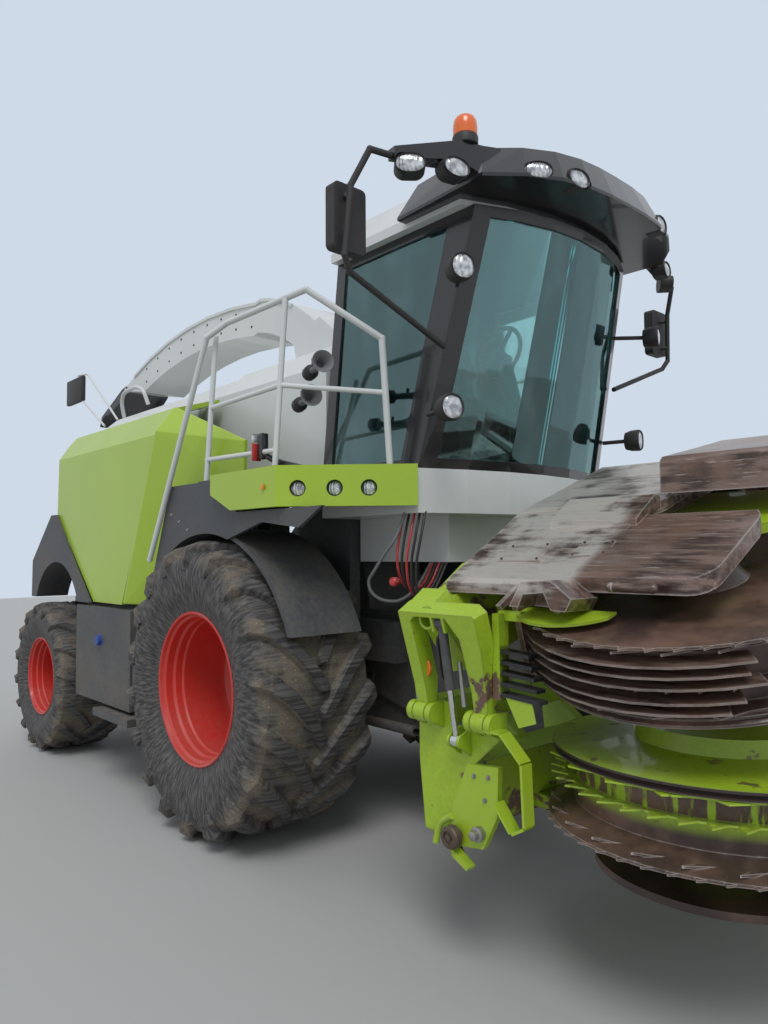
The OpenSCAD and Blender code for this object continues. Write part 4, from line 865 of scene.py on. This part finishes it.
# Skid covers
# Flat steel inspection plates on the skids, worn like the skids themselves.
# A rusty brown bolt near each corner holds them.
skid_slope = (0.5145, 0.8575)
cover_corners = [
    [(2.34, 1.275, 1.816), (2.335, 1.165, 1.884), (2.555, 1.15, 1.893), (2.575, 1.275, 1.818)],
    [(2.705, 1.244, 1.836), (2.715, 1.145, 1.896), (2.875, 1.142, 1.898), (2.875, 1.23, 1.845)],
]
for side, hand in ((-1, "right"), (1, "left")):
    shape = bmesh.new()
    lift = Vector((0, side * skid_slope[0], skid_slope[1]))
    for corners in cover_corners:
        points = [from_axle(side, *corner) - lift * 0.004 for corner in corners]
        slab(shape, points, lift * 0.010)
        centre = sum(points, Vector()) / 4
        for point in points:
            bolt(shape, point.lerp(centre, 0.16) + lift * 0.0065, lift, 0.006, 1)
    piece("skid_covers_" + hand, shape, "fold_wing_" + hand, scraped, brown_iron)

# Spout fittings
# The chute is folded from sheet: two rows of steel rivets hold each side, and dark oval ports are let
# into its underside. Both follow the arch, which is round about one centre.
arch_centre_x = -2.25
arch_centre_z = -1.05
arch_under_radius = 5.0
rivet_row_radii = (5.225, 5.085)
rivet_y = 0.2495
rivets_from_x = -3.65
rivet_pitch = 0.28
rivets_a_row = 9
rivet_profile = [(0.0, 0.0), (0.012, 0.0), (0.010, 0.006), (0.0, 0.008)]
port_xs = (-2.773, -1.921)
port_half_length = 0.11
port_half_width = 0.085
shape = bmesh.new()
for side in (-1, 1):
    for k in range(rivets_a_row):
        x = rivets_from_x + rivet_pitch * k
        for reach in rivet_row_radii:
            z = arch_centre_z + math.sqrt(reach ** 2 - (x - arch_centre_x) ** 2)
            turned(shape, rivet_profile, from_axle(side, x, rivet_y, z), (0, side, 0), 8, 0)
for x in port_xs:
    lean = math.asin((x - arch_centre_x) / arch_under_radius)
    down = Vector((-math.sin(lean), 0, -math.cos(lean)))
    along = Vector((math.cos(lean), 0, -math.sin(lean))) * port_half_length
    wide = Vector((0, port_half_width, 0))
    middle = Vector((x + front_x, 0.0, arch_centre_z)) - down * (arch_under_radius - 0.001)
    turns = [2 * math.pi * k / 24 for k in range(24)]
    slab(shape, [middle + along * math.cos(a) + wide * math.sin(a) for a in turns], down * 0.005, 1)
piece("spout_rivets", shape, "spout", dark_nut, dull_black)

# Spout cradle
# A bow of bent steel tube in off-white enamel, welded to the body beside the rear hood.
# It guides the spout's end down on to the hood for the road.
cradle_path = [
    (-3.28, 0.40, 3.50), (-3.30, 0.45, 3.66), (-3.46, 0.46, 3.72), (-3.80, 0.46, 3.70), (-3.88, 0.45, 3.60),
    (-3.90, 0.40, 3.42),
]
shape = bmesh.new()
tube(shape, [from_axle(-1, *point) for point in cradle_path], 0.022, 0, 0.10)
piece("spout_cradle", shape, "chassis", pale)

# Rear mirror
# A wide mirror in a black plastic shell on two thin enamelled tubes, over the rear hood.
# It is there for backing up to a trailer.
mirror_strut = [(-3.228, 0.90, 3.20), (-4.02, 0.90, 3.66)]
mirror_stay = [(-2.895, 0.90, 3.22), (-3.72, 0.90, 3.84), (-4.00, 0.90, 3.87)]
mirror_low = (-4.28, 0.88, 3.56)
mirror_high = (-3.82, 0.93, 3.84)
shape = bmesh.new()
for path in (mirror_strut, mirror_stay):
    tube(shape, [from_axle(-1, *point) for point in path], 0.011)
block(shape, from_axle(-1, *mirror_low), from_axle(-1, *mirror_high), 0.012, 1)
piece("rear_mirror", shape, "chassis", pale, dull_black)

# Horns and markers
# Two trumpet horns in grey plastic, clamped to the right railing. On each side a black arm holds a lamp with
# a red and a white glass at its end, and a small orange marker is screwed on the lime bar below.
horn_spots = [(1.055, 1.30, 2.995), (0.94, 1.30, 2.81)]
horn_aim = (0.93, -0.36, 0.02)
horn_clamp_x = 0.16
horn_clamp_y = 1.255
horn_clamp_height = 0.055
horn_bell = [
    (0.012, -0.24), (0.020, -0.235), (0.024, -0.10), (0.036, -0.04), (0.062, -0.006), (0.068, 0.0),
    (0.064, 0.001), (0.056, -0.006), (0.030, -0.04), (0.016, -0.09), (0.0, -0.10),
]
horn_driver = [(0.0, -0.33), (0.034, -0.33), (0.046, -0.32), (0.046, -0.26), (0.034, -0.25), (0.016, -0.235)]
marker_arm = [(0.90, 1.30, 2.365), (0.72, 1.40, 2.42), (0.64, 1.44, 2.47)]
bar_marker_low = (0.795, 1.555, 2.235)
bar_marker_high = (0.818, 1.565, 2.267)
marker_blocks = [
    # two opposite corners from the axle, edge radius and slot: the lamp's shell, its red and its white glass
    ((0.60, 1.42, 2.44), (0.66, 1.47, 2.60), 0.008, 2),
    ((0.585, 1.435, 2.43), (0.60, 1.50, 2.54), 0.006, 4),
    ((0.585, 1.435, 2.545), (0.60, 1.50, 2.60), 0.006, 5),
]
grey_plastic = painted("grey_plastic", (0.20, 0.20, 0.21), 0.45, 0.3)
red_glass = painted("red_lamp_glass", (0.48, 0.03, 0.03), 0.25, 0.1, coat=0.6)
shape = bmesh.new()
for x, y, z in horn_spots:
    turned(shape, horn_bell, from_axle(-1, x, y, z), horn_aim, 28, 0)
    turned(shape, horn_driver, from_axle(-1, x, y, z), horn_aim, 24, 1)
    clamp = from_axle(-1, x - horn_clamp_x, horn_clamp_y, z)
    tube(shape, [clamp, clamp + Vector((0, 0, horn_clamp_height))], 0.010, 1)
for side in (-1, 1):
    block(shape, from_axle(side, *bar_marker_low), from_axle(side, *bar_marker_high), 0.003, 3)
    tube(shape, [from_axle(side, *point) for point in marker_arm], 0.020, 2)
    for low, high, edge, slot in marker_blocks:
        block(shape, from_axle(side, *low), from_axle(side, *high), edge, slot)
piece("horns_and_markers", shape, "chassis", grey_plastic, dull_black, gloss_black, orange_glass, red_glass,
    lamp_lens)

# Arch bolts
# Bright flanged steel bolts along the seam where the front arch's plate laps the skirt.
# They hold the two together.
arch_bolt_y = 1.4995
arch_bolt_spots = [(-0.47, 2.139), (-0.347, 2.085), (-0.227, 2.025)]
shape = bmesh.new()
for side in (-1, 1):
    for x, z in arch_bolt_spots:
        bolt(shape, from_axle(side, x, arch_bolt_y, z), (0, side, 0), 0.009)
piece("arch_bolts", shape, "chassis", bare_steel)

# Leads under the deck
# Six free rubber-covered leads, one grey and five thinner ones in red and black, that come out of the cab's
# base, hang between the front arch and the feeder and go back into it. A red plug hangs beside them.
grey_lead = [
    (1.354, 0.92, 2.10), (1.335, 0.985, 1.95), (1.248, 1.0, 1.846), (1.166, 1.0, 1.757), (1.10, 0.99, 1.69),
    (1.09, 0.96, 1.62), (1.12, 0.89, 1.57), (1.17, 0.79, 1.57), (1.21, 0.69, 1.65), (1.255, 0.61, 1.795),
]
thin_lead = [
    # X, Y and Z of the first lead's points, and how much X and Z change from each lead to the next
    (1.30, 0.88, 2.10, 0.045, 0), (1.32, 0.94, 1.95, 0.045, 0), (1.32, 0.96, 1.82, 0.04, -0.01),
    (1.31, 0.92, 1.70, 0.035, -0.02), (1.29, 0.82, 1.64, 0.03, -0.02), (1.275, 0.70, 1.67, 0.03, 0),
    (1.26, 0.605, 1.795, 0.03, 0),
]
thin_leads = 5
red_leads = (0, 2)
plug_place = (1.325, 0.985, 1.69)
plug_aim = (0.3, -1, 0)
plug_profile = [(0.0, -0.03), (0.022, -0.03), (0.027, -0.015), (0.027, 0.022), (0.018, 0.032), (0.0, 0.033)]
black_rubber = painted("black_hose_rubber", (0.016, 0.016, 0.017), 0.45, 0.3)


def lead(name, body, points, radius, material):
    """A free lead on a smooth line through its points."""
    points = [Vector(p) for p in points]
    ends = [points[0] * 2 - points[1]] + points + [points[-1] * 2 - points[-2]]
    line = []
    for a, b, c, d in zip(ends, ends[1:], ends[2:], ends[3:]):
        for t in (k / 7 for k in range(7)):
            slow = (a * 2 - b * 5 + c * 4 - d) * t ** 2 + (b * 3 - a - c * 3 + d) * t ** 3
            line.append((b * 2 + (c - a) * t + slow) / 2)
    line.append(points[-1])
    shape = bmesh.new()
    tube(shape, line, radius, 0, 0.0005)
    made = piece(name, shape, body, material)


lead("deck_lead_grey", "chassis", [from_axle(-1, *p) for p in grey_lead], 0.010, grey_plastic)
for step in range(thin_leads):
    route = [from_axle(-1, x + step * more_x, y, z + step * more_z) for x, y, z, more_x, more_z in thin_lead]
    sheath = red_glass if step in red_leads else black_rubber
    lead(f"deck_lead_{step + 1}", "chassis", route, 0.008, sheath)
shape = bmesh.new()
turned(shape, plug_profile, from_axle(-1, *plug_place), plug_aim, 20, 0)
piece("deck_plug", shape, "chassis", red_glass)

# Tank caps
# Blue screw caps of moulded plastic, one on each side tank.
# They screw on the tank's filler neck.
cap_place = (-1.786, 1.488, 1.141)
cap_profile = [
    (0.0, -0.03), (0.050, -0.03), (0.050, 0.004), (0.040, 0.006), (0.040, 0.030), (0.034, 0.034),
    (0.0, 0.034),
]
blue_plastic = painted("blue_plastic", (0.02, 0.07, 0.30), 0.4, 0.2)
shape = bmesh.new()
for side in (-1, 1):
    turned(shape, cap_profile, from_axle(side, *cap_place), (0, side, 0), 28, 0)
piece("tank_caps", shape, "chassis", blue_plastic)

# Seat
# Driver's seat: foam squab and back in dark woven cloth, on a moulded pan and a black steel pedestal.
# Two bent tubes rise from the pan and carry the back.
seat_x = 0.95
back_x = 0.732
pedestal_low = (0.80, -0.15, 2.500)
pedestal_high = (1.08, 0.15, 2.80)
pan_low = (0.72, -0.25, 2.795)
pan_high = (1.16, 0.25, 2.815)
back_tube = [(0.735, 2.80), (0.70, 2.93), (0.672, 3.45)]
cloth = painted("dark_seat_cloth", (0.035, 0.037, 0.042), 0.85, 0.2, depth=0.002)


def pillow(shape, centre, half, lean):
    """A stuffed block with full round edges, leaning back by an angle."""
    tilt = Matrix.Rotation(math.radians(lean), 4, "Y")
    rings = []
    for j in range(1, 16):
        v = math.pi * (j / 16 - 0.5)
        flat = math.cos(v) ** 0.35
        high = math.copysign(abs(math.sin(v)) ** 0.45, v)
        ring = []
        for i in range(48):
            u = 2 * math.pi * i / 48
            x = math.copysign(abs(math.cos(u)) ** 0.32, math.cos(u)) * flat
            y = math.copysign(abs(math.sin(u)) ** 0.32, math.sin(u)) * flat
            ring.append(Vector(centre) + tilt @ Vector((x * half[0], y * half[1], high * half[2])))
        rings.append(ring)
    loft(shape, rings)


shape = bmesh.new()
pillow(shape, from_axle(1, seat_x, 0, 2.868), (0.23, 0.26, 0.062), 0)
made = piece("seat_squab", shape, "chassis", cloth, crease=80)
shape = bmesh.new()
pillow(shape, from_axle(1, back_x, 0, 3.235), (0.052, 0.25, 0.325), -4.9)
made = piece("seat_back", shape, "chassis", cloth, crease=80)
shape = bmesh.new()
block(shape, from_axle(1, *pedestal_low), from_axle(1, *pedestal_high), 0.01)
block(shape, from_axle(1, *pan_low), from_axle(1, *pan_high), 0.006)
for y in (-0.15, 0.15):
    tube(shape, [from_axle(1, x, y, z) for x, z in back_tube], 0.016)
made = piece("seat_pedestal", shape, "chassis", dull_black)
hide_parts("seat")
